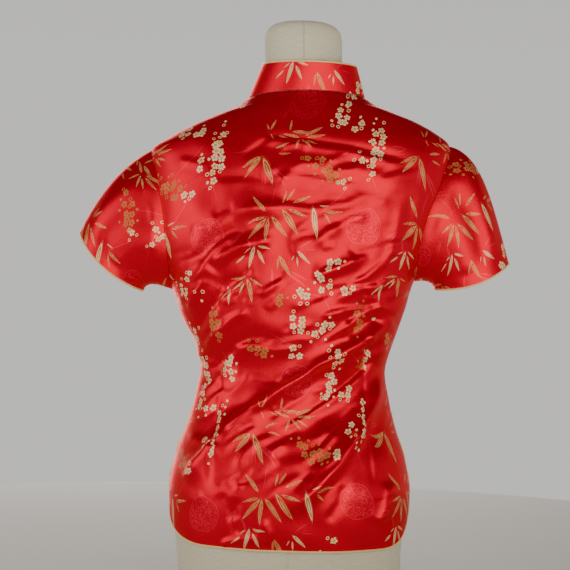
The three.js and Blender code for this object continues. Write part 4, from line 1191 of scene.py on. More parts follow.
class GrowthTree:
    """A geometry node tree that grows a piece from the paths of a mesh."""

    def __init__(self, name: str, sizes: dict[str, float]) -> None:
        """Starts the tree, with the paths, its sizes and a material as named inputs."""
        self.tree = bpy.data.node_groups.new(name, "GeometryNodeTree")
        face = self.tree.interface
        face.new_socket("Paths", in_out="INPUT", socket_type="NodeSocketGeometry")
        for size, value in sizes.items():
            face.new_socket(size, in_out="INPUT", socket_type="NodeSocketFloat").default_value = value
        face.new_socket("Material", in_out="INPUT", socket_type="NodeSocketMaterial")
        face.new_socket("Piece", in_out="OUTPUT", socket_type="NodeSocketGeometry")
        self.inputs = self.tree.nodes.new("NodeGroupInput").outputs

    def end(self, piece: Socket) -> None:
        """Ends the tree with real geometry in the given material."""
        real = add_node(self.tree, "GeometryNodeRealizeInstances", piece)
        dressed = add_node(self.tree, "GeometryNodeSetMaterial", real, None, self.inputs["Material"])
        self.tree.links.new(dressed, self.tree.nodes.new("NodeGroupOutput").inputs[0])

    def grow(
        self, name: str, paths: Sequence[tuple[Array, bool]], material: Material, **sizes: object
    ) -> Thing:
        """Grows a piece and keeps the result as a plain mesh.

        Args:
            name: the piece's name.
            paths: points in millimetres, with the radius at each as a fourth value, and whether each closes.
            material: its finish.
            sizes: values for the tree's named inputs, metres.

        Returns:
            The piece, at the origin.
        """
        points, edges = [], []
        for path, closed in paths:
            first = sum(len(some) for some in points)
            points.append(path)
            edges += [(first + i, first + i + 1) for i in range(len(path) - 1)]
            edges += [(first + len(path) - 1, first)] if closed else []
        every = np.concatenate(points) * MM
        mesh = bpy.data.meshes.new(name)
        mesh.from_pydata(every[:, :3].tolist(), edges, [])
        thick = mesh.attributes.new("thick", "FLOAT", "POINT")
        thick.data.foreach_set("value", every[:, 3].astype(np.float32))
        piece = bpy.data.objects.new(name, mesh)
        bpy.context.scene.collection.objects.link(piece)
        growth = piece.modifiers.new("grow", "NODES")
        growth.node_group = self.tree
        for item in self.tree.interface.items_tree:
            if item.in_out == "INPUT" and item.name in sizes:
                growth[item.identifier] = sizes[item.name]
            elif item.in_out == "INPUT" and item.name == "Material":
                growth[item.identifier] = material
        graph = bpy.context.evaluated_depsgraph_get()
        plain = bpy.data.meshes.new_from_object(piece.evaluated_get(graph))
        piece.modifiers.clear()
        piece.data = plain
        plain.name = name
        return piece


def cord_tree(sides: int = 12) -> GrowthTree:
    """Makes the tree that lays a round cord along every path, with a map that runs along and round it."""
    growth = GrowthTree("round_cord", {})
    tree = growth.tree
    curve = add_node(tree, "GeometryNodeMeshToCurve", growth.inputs["Paths"])
    thick = add_node(tree, "GeometryNodeInputNamedAttribute", "thick", data_type="FLOAT")
    along = add_node(tree, "GeometryNodeSplineParameter", output="Length")
    curve = add_node(tree, "GeometryNodeStoreNamedAttribute", curve, to={"Name": "along", "Value": along})
    around = add_node(tree, "GeometryNodeSplineParameter")
    profile = add_node(tree, "GeometryNodeCurvePrimitiveCircle", to={"Resolution": sides, "Radius": 1.0})
    named = {"Name": "around", "Value": around}
    profile = add_node(tree, "GeometryNodeStoreNamedAttribute", profile, to=named)
    cord = add_node(tree, "GeometryNodeCurveToMesh", curve, profile, thick, True)
    along = add_node(tree, "GeometryNodeInputNamedAttribute", "along", data_type="FLOAT")
    around = add_node(tree, "GeometryNodeInputNamedAttribute", "around", data_type="FLOAT")
    round_mm = add_node(tree, MATH, around, 2 * math.pi * PIPING_RADIUS * MM, operation="MULTIPLY")
    place = add_node(tree, "ShaderNodeCombineXYZ", along, round_mm)
    cord = add_node(
        tree,
        "GeometryNodeStoreNamedAttribute",
        cord,
        to={"Name": "along_cord", "Value": place},
        data_type="FLOAT2",
        domain="CORNER",
    )
    growth.end(cord)
    return growth


def stitch_tree() -> GrowthTree:
    """Makes the tree that sets a row of slightly uneven hand stitches along every path."""
    growth = GrowthTree("stitch_row", {"Spacing": 0.004, "Length": 0.0024, "Radius": 0.0002})
    tree, sizes = growth.tree, growth.inputs
    curve = add_node(tree, "GeometryNodeMeshToCurve", sizes["Paths"])
    points = add_node(
        tree, "GeometryNodeResampleCurve", curve, to={"Length": sizes["Spacing"]}, mode="LENGTH"
    )
    stitch = add_node(tree, "GeometryNodeMeshUVSphere", 8, 5, 1.0)
    way = add_node(tree, "GeometryNodeInputTangent")
    turn = add_node(tree, "FunctionNodeAlignRotationToVector", to={"Vector": way}, axis="Z")
    half = add_node(tree, MATH, sizes["Length"], 0.5, operation="MULTIPLY")
    size = add_node(tree, "ShaderNodeCombineXYZ", sizes["Radius"], sizes["Radius"], half)
    uneven = add_node(
        tree,
        "FunctionNodeRandomValue",
        (0.9, 0.9, 0.75),
        (1.1, 1.1, 1.1),
        to={"Seed": 5},
        data_type="FLOAT_VECTOR",
    )
    size = add_node(tree, VECTOR_MATH, size, uneven, operation="MULTIPLY")
    row = add_node(
        tree, "GeometryNodeInstanceOnPoints", points, to={"Instance": stitch, "Rotation": turn, "Scale": size}
    )
    growth.end(row)
    return growth


@dataclass(frozen=True)
class BrocadeReverse:
    """The wrong side of the brocade: duller, with the gold weft carried across in faint bars."""

    name: str = "brocade_wrong_side"
    red: str = "#b00414"
    float_gold: str = "#b4502c"

    def make(self) -> Material:
        """Makes the material on the flat cloth's map."""
        material, tree, shader = new_material(self.name)
        places = add_node(tree, "ShaderNodeUVMap", uv_map="flat_cloth")
        wide = add_node(tree, VECTOR_MATH, places, (25, 900, 0), operation="MULTIPLY")
        bars = add_node(tree, "ShaderNodeTexNoise", wide, to={2: 1.0}, noise_dimensions="2D")
        few = add_node(tree, "ShaderNodeMapRange", bars, 0.52, 0.75)
        ends = {6: hex_colour(self.red), 7: hex_colour(self.float_gold)}
        colour = add_node(tree, MIX, few, to=ends, output=2, data_type="RGBA")
        bump = add_node(tree, "ShaderNodeBump", 0.3, 0.0003, to={"Height": bars})
        tree.links.new(colour, shader.inputs["Base Color"])
        tree.links.new(bump, shader.inputs["Normal"])
        shader.inputs["Roughness"].default_value = 0.62
        shader.inputs["Sheen Weight"].default_value = 0.2
        return material


@dataclass(frozen=True)
class GoldSatin:
    """Pale gold satin, bias-cut over a cord: soft highlights, and threads that run slantwise round it."""

    name: str = "gold_bias_satin"
    light: str = "#ffd68c"
    deep: str = "#e3a048"
    thread_mm: float = 1.1

    def make(self) -> Material:
        """Makes the material on the cord's own map."""
        material, tree, shader = new_material(self.name)
        places = add_node(tree, "ShaderNodeUVMap", uv_map="along_cord")
        mm = add_node(tree, "ShaderNodeMapping", places, None, (0, 0, 0.9), (1000, 1000, 1))
        twill = add_node(
            tree,
            "ShaderNodeTexWave",
            mm,
            to={1: 0.314 / self.thread_mm, 2: 1.5},
            output=1,
            wave_type="BANDS",
            bands_direction="X",
        )
        patches = add_node(tree, "ShaderNodeTexNoise", mm, to={2: 0.16}, noise_dimensions="2D")
        both = add_node(tree, MATH, patches, twill, operation="MULTIPLY")
        ends = {6: hex_colour(self.light), 7: hex_colour(self.deep)}
        colour = add_node(tree, MIX, both, to=ends, output=2, data_type="RGBA")
        bump = add_node(tree, "ShaderNodeBump", 0.35, 0.0002, to={"Height": twill})
        tree.links.new(colour, shader.inputs["Base Color"])
        tree.links.new(bump, shader.inputs["Normal"])
        shader.inputs["Roughness"].default_value = 0.38
        shader.inputs["Metallic"].default_value = 0.25
        shader.inputs["Sheen Weight"].default_value = 0.3
        return material


@dataclass(frozen=True)
class FormLinen:
    """Undyed linen, plain-woven and drawn smooth over the form: matt, with slubs in both threads."""

    name: str = "undyed_linen"
    light: str = "#d9d2b6"
    dark: str = "#bfb596"
    thread_mm: float = 0.9  # twice too coarse, so that the weave shows

    def make(self) -> Material:
        """Makes the material on the form's own map."""
        material, tree, shader = new_material(self.name)
        places = add_node(tree, "ShaderNodeUVMap", uv_map="form_cover")
        mm = add_node(tree, VECTOR_MATH, places, (1000, 1000, 0), operation="MULTIPLY")
        heights = [
            add_node(
                tree,
                "ShaderNodeTexWave",
                mm,
                to={1: 0.314 / self.thread_mm, 2: 1.2, 3: 2.0, 4: 0.4},
                output=1,
                wave_type="BANDS",
                bands_direction=direction,
            )
            for direction in ("X", "Y")
        ]
        weave = add_node(tree, MATH, *heights, operation="ADD")
        long = add_node(tree, VECTOR_MATH, mm, (0.08, 0.9, 0), operation="MULTIPLY")
        slub = add_node(tree, "ShaderNodeTexNoise", long, to={2: 1.0, 3: 3.0}, noise_dimensions="2D")
        tone = add_node(tree, MATH, weave, 0.25, slub, operation="MULTIPLY_ADD")
        tone = add_node(tree, "ShaderNodeMapRange", tone, 0.35, 1.1)
        ends = {6: hex_colour(self.dark), 7: hex_colour(self.light)}
        colour = add_node(tree, MIX, tone, to=ends, output=2, data_type="RGBA")
        bump = add_node(tree, "ShaderNodeBump", 0.25, 0.0003, to={"Height": weave})
        tree.links.new(colour, shader.inputs["Base Color"])
        tree.links.new(bump, shader.inputs["Normal"])
        shader.inputs["Roughness"].default_value = 0.9
        shader.inputs["Sheen Weight"].default_value = 0.15
        return material


@dataclass(frozen=True)
class PaleFloor:
    """A pale matt studio floor with the faintest mottle of painted board."""

    name: str = "painted_floor"
    light: str = "#e6e5e0"
    dark: str = "#dfded8"

    def make(self) -> Material:
        """Makes the material in object space."""
        material, tree, shader = new_material(self.name)
        place = add_node(tree, "ShaderNodeTexCoord", output="Object")
        mottle = add_node(tree, "ShaderNodeTexNoise", place, to={2: 3.0})
        ends = {6: hex_colour(self.light), 7: hex_colour(self.dark)}
        colour = add_node(tree, MIX, mottle, to=ends, output=2, data_type="RGBA")
        tree.links.new(colour, shader.inputs["Base Color"])
        shader.inputs["Roughness"].default_value = 0.85
        return material


@dataclass(frozen=True)
class SewingThread:
    """Twisted cotton sewing thread, slightly glossy, its twist seen as fine slanting lines."""

    name: str
    colour: str
    shade: str
    twist_mm: float = 0.5  # the real twist is 0.2 mm, too fine to show

    def make(self) -> Material:
        """Makes the material in object space."""
        material, tree, shader = new_material(self.name)
        place = add_node(tree, "ShaderNodeTexCoord", output="Object")
        wave = {"wave_type": "BANDS", "bands_direction": "DIAGONAL"}
        lines = {1: 314 / self.twist_mm, 2: 1.0}
        twist = add_node(tree, "ShaderNodeTexWave", place, to=lines, output=1, **wave)
        ends = {6: hex_colour(self.shade), 7: hex_colour(self.colour)}
        colour = add_node(tree, MIX, twist, to=ends, output=2, data_type="RGBA")
        bump = add_node(tree, "ShaderNodeBump", 0.3, 0.0001, to={"Height": twist})
        tree.links.new(colour, shader.inputs["Base Color"])
        tree.links.new(bump, shader.inputs["Normal"])
        shader.inputs["Roughness"].default_value = 0.6
        return material


@dataclass
class Kit:
    """The finishes and the growth trees that the pieces share."""

    brocade: Material
    reverse: Material
    gold: Material
    linen: Material
    floor: Material
    gold_thread: Material
    linen_thread: Material
    cord: GrowthTree
    stitches: GrowthTree

    @classmethod
    def make(cls) -> Kit:
        """Makes every material and tree once."""
        threads = (
            SewingThread("gold_cotton_thread", "#f4cf84", "#cf9c48"),
            SewingThread("linen_thread", "#ddd6bf", "#a89f84"),
        )
        makers = (BrocadeSatin(), BrocadeReverse(), GoldSatin(), FormLinen(), PaleFloor(), *threads)
        return cls(*(maker.make() for maker in makers), cord_tree(), stitch_tree())


def place_piece(piece: Thing, slot: str, *nodes: str) -> Thing:
    """Puts a finished piece under the root, in the place of CAD nodes, which it hides."""
    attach(piece, "root")
    if nodes:
        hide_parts(*nodes)
    return piece


def piping_object(name: str, edge: tuple[Array, Array], side: float, kit: Kit, closed: bool = False) -> Thing:
    """Makes the piping just past an edge of a sheet and puts it in the place of its CAD node.

    Args:
        name: the CAD node's name.
        edge: the edge's points and the ways out of the cloth there.
        side: 1 where the cloth lies to the left of the way along the edge, seen from outside, or -1.
        kit: the finishes and trees.
        closed: whether the edge comes back to its start.

    Returns:
        The piping.
    """
    path, outs = even_path(*edge, 1.6, closed)
    away = unit(np.cross(along_path(path, closed), outs))
    path = path + away * side * (PIPING_RADIUS + SEAM_GAP * 0.5) - outs * CLOTH_WALL / 2
    uneven = np.random.default_rng(len(path)).normal(0, 1, len(path))
    uneven = np.convolve(np.concatenate([uneven[-3:], uneven, uneven[:3]]), np.ones(7) / 7, "valid")
    thick = PIPING_RADIUS * (1 + 0.05 * uneven)
    piece = kit.cord.grow(f"{name}_cord", [(np.column_stack([path, thick]), closed)], kit.gold)
    return place_piece(piece, "gold_satin", name)


@dataclass
class BodyPanel:
    """A body panel, cut from hem to shoulder.

    Attributes:
        name: the CAD node that it replaces.
        front: whether it is the main front.
        left: the hem corner on the wearer's left.
        right: the hem corner on the wearer's right.
        depth: degrees that the armhole cuts from it.
        cut: width and length of the cloth it was cut from, metres; not used.
        origin: the pattern's place at the panel's middle, 450 mm up.
    """

    name: str
    front: bool
    left: Corner
    right: Corner
    depth: float
    cut: tuple[float, float]
    origin: tuple[float, float]
    flat_columns: int = 44
    corner_columns: int = 34
    corner_share: float = 0.46
    hem_rows: int = 66
    side_rows: int = 58
    armhole_rows: int = 66
    shoulder_rows: int = 26
    sheet: Sheet = field(init=False)

    def __post_init__(self) -> None:
        """Works out the panel's grid."""
        self.sheet = self._sheet()

    def _shares(self) -> Array:
        """Gives shares from the centre to the side, closer together in the hem corner."""
        even = (1 - self.corner_share) * np.arange(self.flat_columns) / self.flat_columns
        turn = np.arange(self.corner_columns + 1) / self.corner_columns
        corner = 1 - self.corner_share * (1 - np.sin(np.pi / 2 * turn))
        half = np.concatenate([even, corner])
        return np.concatenate([-half[:0:-1], half])

    def _heights(self, shares: Array) -> Array:
        """Gives the rows' heights for each column."""
        along = (1 - np.abs(shares)) * HALF_GIRTH
        corner_along = np.where(shares > 0, self.left.along, self.right.along)
        corner_up = np.where(shares > 0, self.left.up, self.right.up)
        turn = np.clip(1 - along / corner_along, 0, 1)
        hem = HEM_HEIGHT + corner_up * (1 - np.sqrt(1 - turn * turn))
        steps = np.arange(self.hem_rows + 1)[:, None] / self.hem_rows
        below = hem + (SLIT_TOP - hem) * steps
        side = SLIT_TOP + (UNDERARM - SLIT_TOP) * np.arange(1, self.side_rows + 1) / self.side_rows
        turns = np.pi * np.arange(1, self.armhole_rows + 1) / self.armhole_rows
        armhole = ARMHOLE_MIDDLE - ARMHOLE_HALF * np.cos(turns)
        shares_up = np.arange(1, self.shoulder_rows + 1) / self.shoulder_rows
        shoulder = SHOULDER_TIP + (NECK_SIDE - SHOULDER_TIP) * shares_up
        above = np.concatenate([side, armhole, shoulder])
        return np.concatenate([below, np.repeat(above[:, None], len(shares), axis=1)])

    def _sheet(self) -> Sheet:
        """Places the grid's points and lays the pattern on them."""
        shares = self._shares()
        heights = self._heights(shares)
        edge = 90 - armhole_cut(heights, self.depth)
        if self.front:
            edge = np.where(shares < 0, np.minimum(edge, opening_limit(heights)), edge)
        slit = SLIT_OPEN * smoothstep((SLIT_TOP - heights) / SLIT_TAPER)
        across = shares * (edge - slit - seam_angle(heights))
        angle = 180 - across if self.front else across
        sheet = Sheet(cloth_point(angle, heights), flip=not self.front)
        middle = len(shares) // 2
        level = int(np.abs(heights[:, middle] - 450).argmin())
        way = 1.0 if self.front else -1.0
        sheet.lay_flat(middle, level, self.origin, way, 1.0)
        sheet.take_in(FRONT_DARTS if self.front else BACK_DARTS, way)
        return sheet

    def hem_edge(self) -> tuple[Array, Array]:
        """Gives the edge from the top of the right slit round to the top of the left one."""
        last = self.sheet.points.shape[1] - 1
        slit = round(self.hem_rows * 11 / 12)
        right = [(row, 0) for row in range(slit, 0, -1)]
        hem = [(0, column) for column in range(last + 1)]
        left = [(row, last) for row in range(1, slit + 1)]
        return self.sheet.edge([*right, *hem, *left])

    def opening_edge(self) -> tuple[Array, Array]:
        """Gives the slanted edge of the opening, upward."""
        heights = self._heights(self._shares())[:, 0]
        return self.sheet.edge([(row, 0) for row in range(len(heights)) if heights[row] > OPENING_FOOT + 4])

    def build(self, kit: Kit) -> Thing:
        """Makes the panel and its hem piping."""
        piece = sheet_object(f"{self.name}_cloth", self.sheet, kit.brocade, kit.reverse)
        place_piece(piece, "red_brocade", self.name)
        side = 1.0 if self.front else -1.0
        name = "piping_front_hem" if self.front else "piping_back_hem"
        trims = [piping_object(name, self.hem_edge(), side, kit)]
        if self.front:
            trims.append(piping_object("piping_opening", self.opening_edge(), -1.0, kit))
        darts = FRONT_DARTS if self.front else BACK_DARTS
        taken = 0.0
        for dart in darts:
            widths = dart.taken(np.linspace(dart.low, dart.high, 60))
            taken += float(widths.mean()) * (dart.high - dart.low)
        area = round(self.sheet.area() + taken * MM * MM, 4)
        LOG.info("%s: %.4f square metres of cloth", self.name, area)
        return piece


@dataclass
class SmallRightFront:
    """The small front under the slanted opening, from the right armhole to the neck."""

    cut: tuple[float, float] = (0.20, 0.27)
    columns: int = 70
    armhole_rows: int = 62
    shoulder_rows: int = 26

    def build(self, kit: Kit) -> Thing:
        """Makes the piece."""
        start = math.acos((ARMHOLE_MIDDLE - OPENING_FOOT - 6) / ARMHOLE_HALF)
        turns = start + (math.pi - start) * np.arange(self.armhole_rows + 1) / self.armhole_rows
        armhole = ARMHOLE_MIDDLE - ARMHOLE_HALF * np.cos(turns)
        shares = np.arange(1, self.shoulder_rows + 1) / self.shoulder_rows
        heights = np.concatenate([armhole, SHOULDER_TIP + (NECK_SIDE - SHOULDER_TIP) * shares])[:, None]
        first = np.maximum(OPENING(heights) - UNDERLAP * smoothstep((NECK_SIDE - heights) / 90), 2.2)
        last = 90 - armhole_cut(heights, ARMHOLE_DEPTH_FRONT) - seam_angle(heights)
        out = first + (last - first) * np.arange(self.columns + 1) / self.columns
        drop = UNDERLAP_DROP * (1 - smoothstep((out - OPENING(heights) - 3) / 16))
        sheet = Sheet(cloth_point(180 + out, heights, drop), flip=True)
        sheet.lay_flat(self.columns, 0, (20, 140), -1.0, 1.0)
        piece = sheet_object("small_right_front_cloth", sheet, kit.brocade, kit.reverse)
        place_piece(piece, "red_brocade", "small_right_front")
        area = round(sheet.area(), 4)
        LOG.info("small_right_front: %.4f square metres of cloth", area)
        return piece


@dataclass
class Collar:
    """The stand collar, a stiff band with rounded top corners."""

    cut: tuple[float, float] = (0.39, 0.048)
    columns: int = 180
    rows: int = 18
    crowding: float = 1.2
    origin: tuple[float, float] = (97, 137)

    def _point(self, angle: Array, share: Array) -> Array:
        """Places points of the band, share of the way up from the neckline."""
        foot = torso_point(angle, np.full_like(angle, NECK_SIDE))
        foot[..., 2] += SEAM_GAP + 0.5
        top = ring_point(COLLAR_TOP, angle, COLLAR_TOP_SIDE)
        return foot + (top - foot) * share[..., None]

    def sheet(self) -> Sheet:
        """Works out the band's grid."""
        end = 180 - COLLAR_FRONT_GAP
        turn = np.linspace(-1, 1, self.columns + 1)
        angle = end * np.sin(turn * self.crowding) / math.sin(self.crowding)
        along = (end - np.abs(angle)) / 360 * COLLAR_GIRTH
        corner = np.clip(1 - along / COLLAR_CORNER, 0, 1)
        cut = COLLAR_CORNER / COLLAR_TALL * (1 - np.sqrt(1 - corner * corner))
        rise = np.arange(self.rows + 1)[:, None] / self.rows * (1 - cut)
        sheet = Sheet(self._point(np.broadcast_to(angle, rise.shape), rise), flip=True)
        outs = sheet.outs()
        # A stiffened band still gives a little between its seam and its piped edge.
        give = ripple(angle * 1.1, np.zeros_like(angle), 5, 0.5) * np.sin(np.pi * rise)
        sheet.points = sheet.points + outs * give[..., None]
        sheet.lay_flat(self.columns // 2, 0, self.origin, -1.0, 1.0)
        return sheet

    def build(self, kit: Kit) -> Thing:
        """Makes the collar and its piping."""
        sheet = self.sheet()
        piece = sheet_object("collar_cloth", sheet, kit.brocade, kit.reverse)
        place_piece(piece, "red_brocade", "collar")
        top, last = self.rows, self.columns
        places = [(row, 0) for row in range(top + 1)]
        places += [(top, column) for column in range(1, last)]
        places += [(row, last) for row in range(top, -1, -1)]
        trim = piping_object("piping_collar", sheet.edge(places), 1.0, kit)
        area = round(sheet.area(), 4)
        LOG.info("collar: %.4f square metres of cloth", area)
        return piece


@dataclass
class Sleeve:
    """A short set-in sleeve with a rounded head, its hem an oval.

    Attributes:
        name: left or right.
        side: 1 on the wearer's left, -1 on the right.
        tip: the hem's outer end (across, y, height).
        inner: the hem's inner end.
        depth: how deep the hem is from front to back, half of it.
        bow: how far the hem bows down between its ends.
        head: how far the head runs out and up before it turns down.
        run: the way in which the sleeve reaches its hem (out, up).
        origin: the pattern's place at the top of the hem.
        folds: soft folds (depth, left, right, way), the way in degrees of turn and shares of length.
    """

    name: str
    side: float
    tip: tuple[float, float, float]
    inner: tuple[float, float, float]
    depth: float
    bow: float
    head: tuple[float, float]
    run: tuple[float, float]
    origin: tuple[float, float]
    folds: tuple[Crease, ...] = ()
    cut: tuple[float, float] = (0.34, 0.19)
    under_lead: float = 10.0
    fullness: float = 6.0
    longest_run: float = 0.4
    around: int = 120
    rings: int = 54

    def _hole(self, turn: Array) -> Array:
        """Gives points of the armhole; turn 0 is the shoulder tip, 180 the underarm, back first."""
        height = ARMHOLE_MIDDLE + ARMHOLE_HALF * np.cos(np.radians(turn))
        depth = np.where(turn <= 180, ARMHOLE_DEPTH_BACK, ARMHOLE_DEPTH_FRONT)
        cut = np.abs(depth * np.sin(np.radians(turn)))
        angle = np.where(turn <= 180, 90 - cut, 90 + cut)
        return cloth_point(self.side * angle, height)

    def _cuff(self, turn: Array) -> Array:
        """Gives points of the hem."""
        tip, inner = np.array(self.tip, float), np.array(self.inner, float)
        sine, cosine = np.sin(np.radians(turn)), np.cos(np.radians(turn))
        point = tip + (inner - tip) * ((1 - cosine) / 2)[:, None]
        along = unit(inner - tip)
        point[:, 1] += self.depth * sine
        point[:, 0] -= along[2] * self.bow * sine**2
        point[:, 2] += along[0] * self.bow * sine**2
        point[:, 0] *= self.side
        return point

    def sheet(self) -> Sheet:
        """Works out the grid, rings from the armhole to the hem."""
        # The columns start at the underarm seam, where a real sleeve is joined.
        turn = np.mod(360 * np.arange(self.around) / self.around + 180, 360)
        top = (1 + np.cos(np.radians(turn))) / 2
        hem, hole = self._cuff(turn), self._hole(turn)
        distance = np.linalg.norm(hem - hole, axis=1)
        shorter = np.minimum(1, self.longest_run * distance / math.hypot(*self.run))
        lead = np.stack(
            [
                self.side * (self.under_lead + (self.head[0] - self.under_lead) * top),
                self.fullness * np.sin(np.radians(turn)),
                self.head[1] * top,
            ],
            axis=1,
        )
        tail = np.array([self.side * self.run[0], 0, self.run[1]]) * shorter[:, None]
        start = hole + unit(lead) * SEAM_GAP * 0.6
        stages = (start, start + lead, hem - tail, hem)
        t = (np.arange(self.rings + 1) / self.rings)[:, None, None]
        weights = ((1 - t) ** 3, 3 * t * (1 - t) ** 2, 3 * t * t * (1 - t), t**3)
        points = sum(weight * stage[None] for weight, stage in zip(weights, stages))
        points = np.concatenate([points, points[:, :1]], axis=1)
        sheet = Sheet(points, flip=self.side > 0, closed=True)
        turns = np.broadcast_to(np.append(turn, 180.0), points.shape[:2])
        lengths = np.broadcast_to(t[..., 0] * 90, points.shape[:2])
        around = np.where(turns > 180, turns - 360, turns)
        hang = smoothstep(t[..., 0] * 4) * smoothstep((1 - t[..., 0]) * 5)
        reach = crease_reach(self.folds, around, lengths) * hang
        wave = np.sin(np.radians(turns * 3 + 40)) + np.sin(np.radians(turns * 5 + 130))
        reach = reach + wave * 0.5 * smoothstep(t[..., 0] * 2) * smoothstep((1 - t[..., 0]) * 8)
        sheet.points = sheet.points + sheet.outs() * reach[..., None]
        sheet.lay_flat(self.around // 2, self.rings, self.origin, self.side, -1.0)
        return sheet

    def build(self, kit: Kit) -> Thing:
        """Makes the sleeve and its piping."""
        sheet = self.sheet()
        piece = sheet_object(f"sleeve_{self.name}_cloth", sheet, kit.brocade, kit.reverse)
        place_piece(piece, "red_brocade", f"sleeve_{self.name}")
        places = [(self.rings, column) for column in range(self.around)]
        cord = piping_object(f"piping_sleeve_{self.name}", sheet.edge(places), self.side, kit, closed=True)
        area = round(sheet.area(), 4)
        LOG.info("sleeve_%s: %.4f square metres of cloth", self.name, area)
        return piece


SEAM_STEPS = (0.5, 1, 1.5, 2.1, 2.7)  # degrees from a seam to the columns that round its groove


@dataclass
class DressForm:
    """The limbless form: a padded torso with a tall neck and a domed cap, in drawn-on linen."""

    around: int = 120
    seams: tuple[float, ...] = (0.0, 180.0)
    seam_depth: float = 1.7
    seam_reach: float = 1.3

    def _angles(self) -> Array:
        """Gives the columns' angles, closer together at the seams."""
        even = np.arange(self.around) * 360 / self.around
        fine = [seam + side * step for seam in self.seams for side in (-1, 1) for step in SEAM_STEPS]
        return np.sort(np.unique(np.mod(np.concatenate([even, fine]), 360)))

    def _torso(self, angle: Array, height: Array) -> Array:
        """Places points of the covered torso."""
        point = torso_point(angle, height)
        normal = torso_normal(angle, np.maximum(height, 1))
        normal[..., 2] = np.where(height == 0, 0, normal[..., 2])
        middle = np.cos(np.radians(angle)) ** 2
        point = point - normal * (EASE_SIDE(height) + EASE_MIDDLE(height) * middle)[..., None]
        x = np.abs(point[..., 0])
        flat = x - FORM_SIDE_SOFTNESS * np.log1p(np.exp((x - FORM_SIDE_LIMIT) / FORM_SIDE_SOFTNESS))
        near = smoothstep((height - UNDERARM + 50) / 60) * (1 - smoothstep((height - SHOULDER_TIP) / 16))
        point[..., 0] += np.sign(point[..., 0]) * (flat - x) * near
        return point

    def build(self, kit: Kit) -> Thing:
        """Makes the form, its seams and their stitches."""
        angles = self._angles()
        count = len(angles)
        low = np.concatenate([np.linspace(0, 630, 106), np.linspace(634, NECK_SIDE, 17)])
        cap = 799 - 16 * np.cos(np.linspace(0.12, np.pi / 2, 14))
        dense = np.concatenate([np.linspace(704, 783, 24), cap])
        high = np.clip(np.sort(dense), 704, 799)
        torso = self._torso(*np.meshgrid(angles, low))
        neck = NECK.point(*np.meshgrid(angles, high))
        rings = np.concatenate([torso, neck])
        heights = np.concatenate([low, high])
        off = np.minimum(*(np.abs((angles - seam + 180) % 360 - 180) for seam in self.seams))
        inward = rings.mean(axis=1, keepdims=True) - rings
        inward[..., 2] = 0
        sink = self.seam_depth * np.exp(-((off / self.seam_reach) ** 2)) * (heights < 798)[:, None]
        rings = rings + unit(inward) * sink[..., None]
        points = rings.reshape(-1, 3)
        faces, uv = [], []
        steps = np.linalg.norm(np.diff(np.concatenate([rings, rings[:, :1]], axis=1), axis=1), axis=-1)
        around = np.concatenate([np.zeros((len(rings), 1)), np.cumsum(steps, axis=1)], axis=1)
        climb = np.linalg.norm(np.diff(rings, axis=0), axis=-1).mean(axis=1)
        rise = np.concatenate([[0], np.cumsum(climb)])
        for i in range(len(rings) - 1):
            for k in range(count):
                m = (k + 1) % count
                faces.append((i * count + m, i * count + k, (i + 1) * count + k, (i + 1) * count + m))
                uv += [
                    (around[i, k + 1], rise[i]),
                    (around[i, k], rise[i]),
                    (around[i + 1, k], rise[i + 1]),
                    (around[i + 1, k + 1], rise[i + 1]),
                ]
        base, crown = len(points), len(points) + 1
        points = np.concatenate([points, [[-3, 2, 0], [-1, 0, 799.4]]])
        last = (len(rings) - 1) * count
        for k in range(count):
            m = (k + 1) % count
            faces.append((base, k, m))
            faces.append((crown, last + m, last + k))
            uv += [(p[0], p[1]) for p in (points[base], points[k], points[m])]
            uv += [(p[0], p[1]) for p in (points[crown], points[last + m], points[last + k])]
        piece = mesh_object("dress_form_linen", points, faces, [kit.linen], np.array(uv), "form_cover")
        place_piece(piece, "linen", "dress_form")
        self._stitches(rings, angles, heights, kit)
        return piece

    def _stitches(self, rings: Array, angles: Array, heights: Array, kit: Kit) -> None:
        """Sews the cover's two seams by hand, where they show above the collar and below the hem."""
        rows = []
        for seam in self.seams:
            column = rings[:, int(np.abs(angles - seam).argmin())]
            out = np.array([0.0, math.cos(math.radians(seam)) * 0.25, 0.0])
            for low, high in ((2, HEM_HEIGHT + 8), (COLLAR_TOP_SIDE - 12, 796)):
                path = column[(heights > low) & (heights < high)] + out
                rows.append((np.column_stack([path, np.ones(len(path))]), False))
        sizes = {"Spacing": 0.0042, "Length": 0.0027, "Radius": 0.0003}
        stitches = kit.stitches.grow("form_seam_stitches", rows, kit.linen_thread, **sizes)
        place_piece(stitches, "linen")


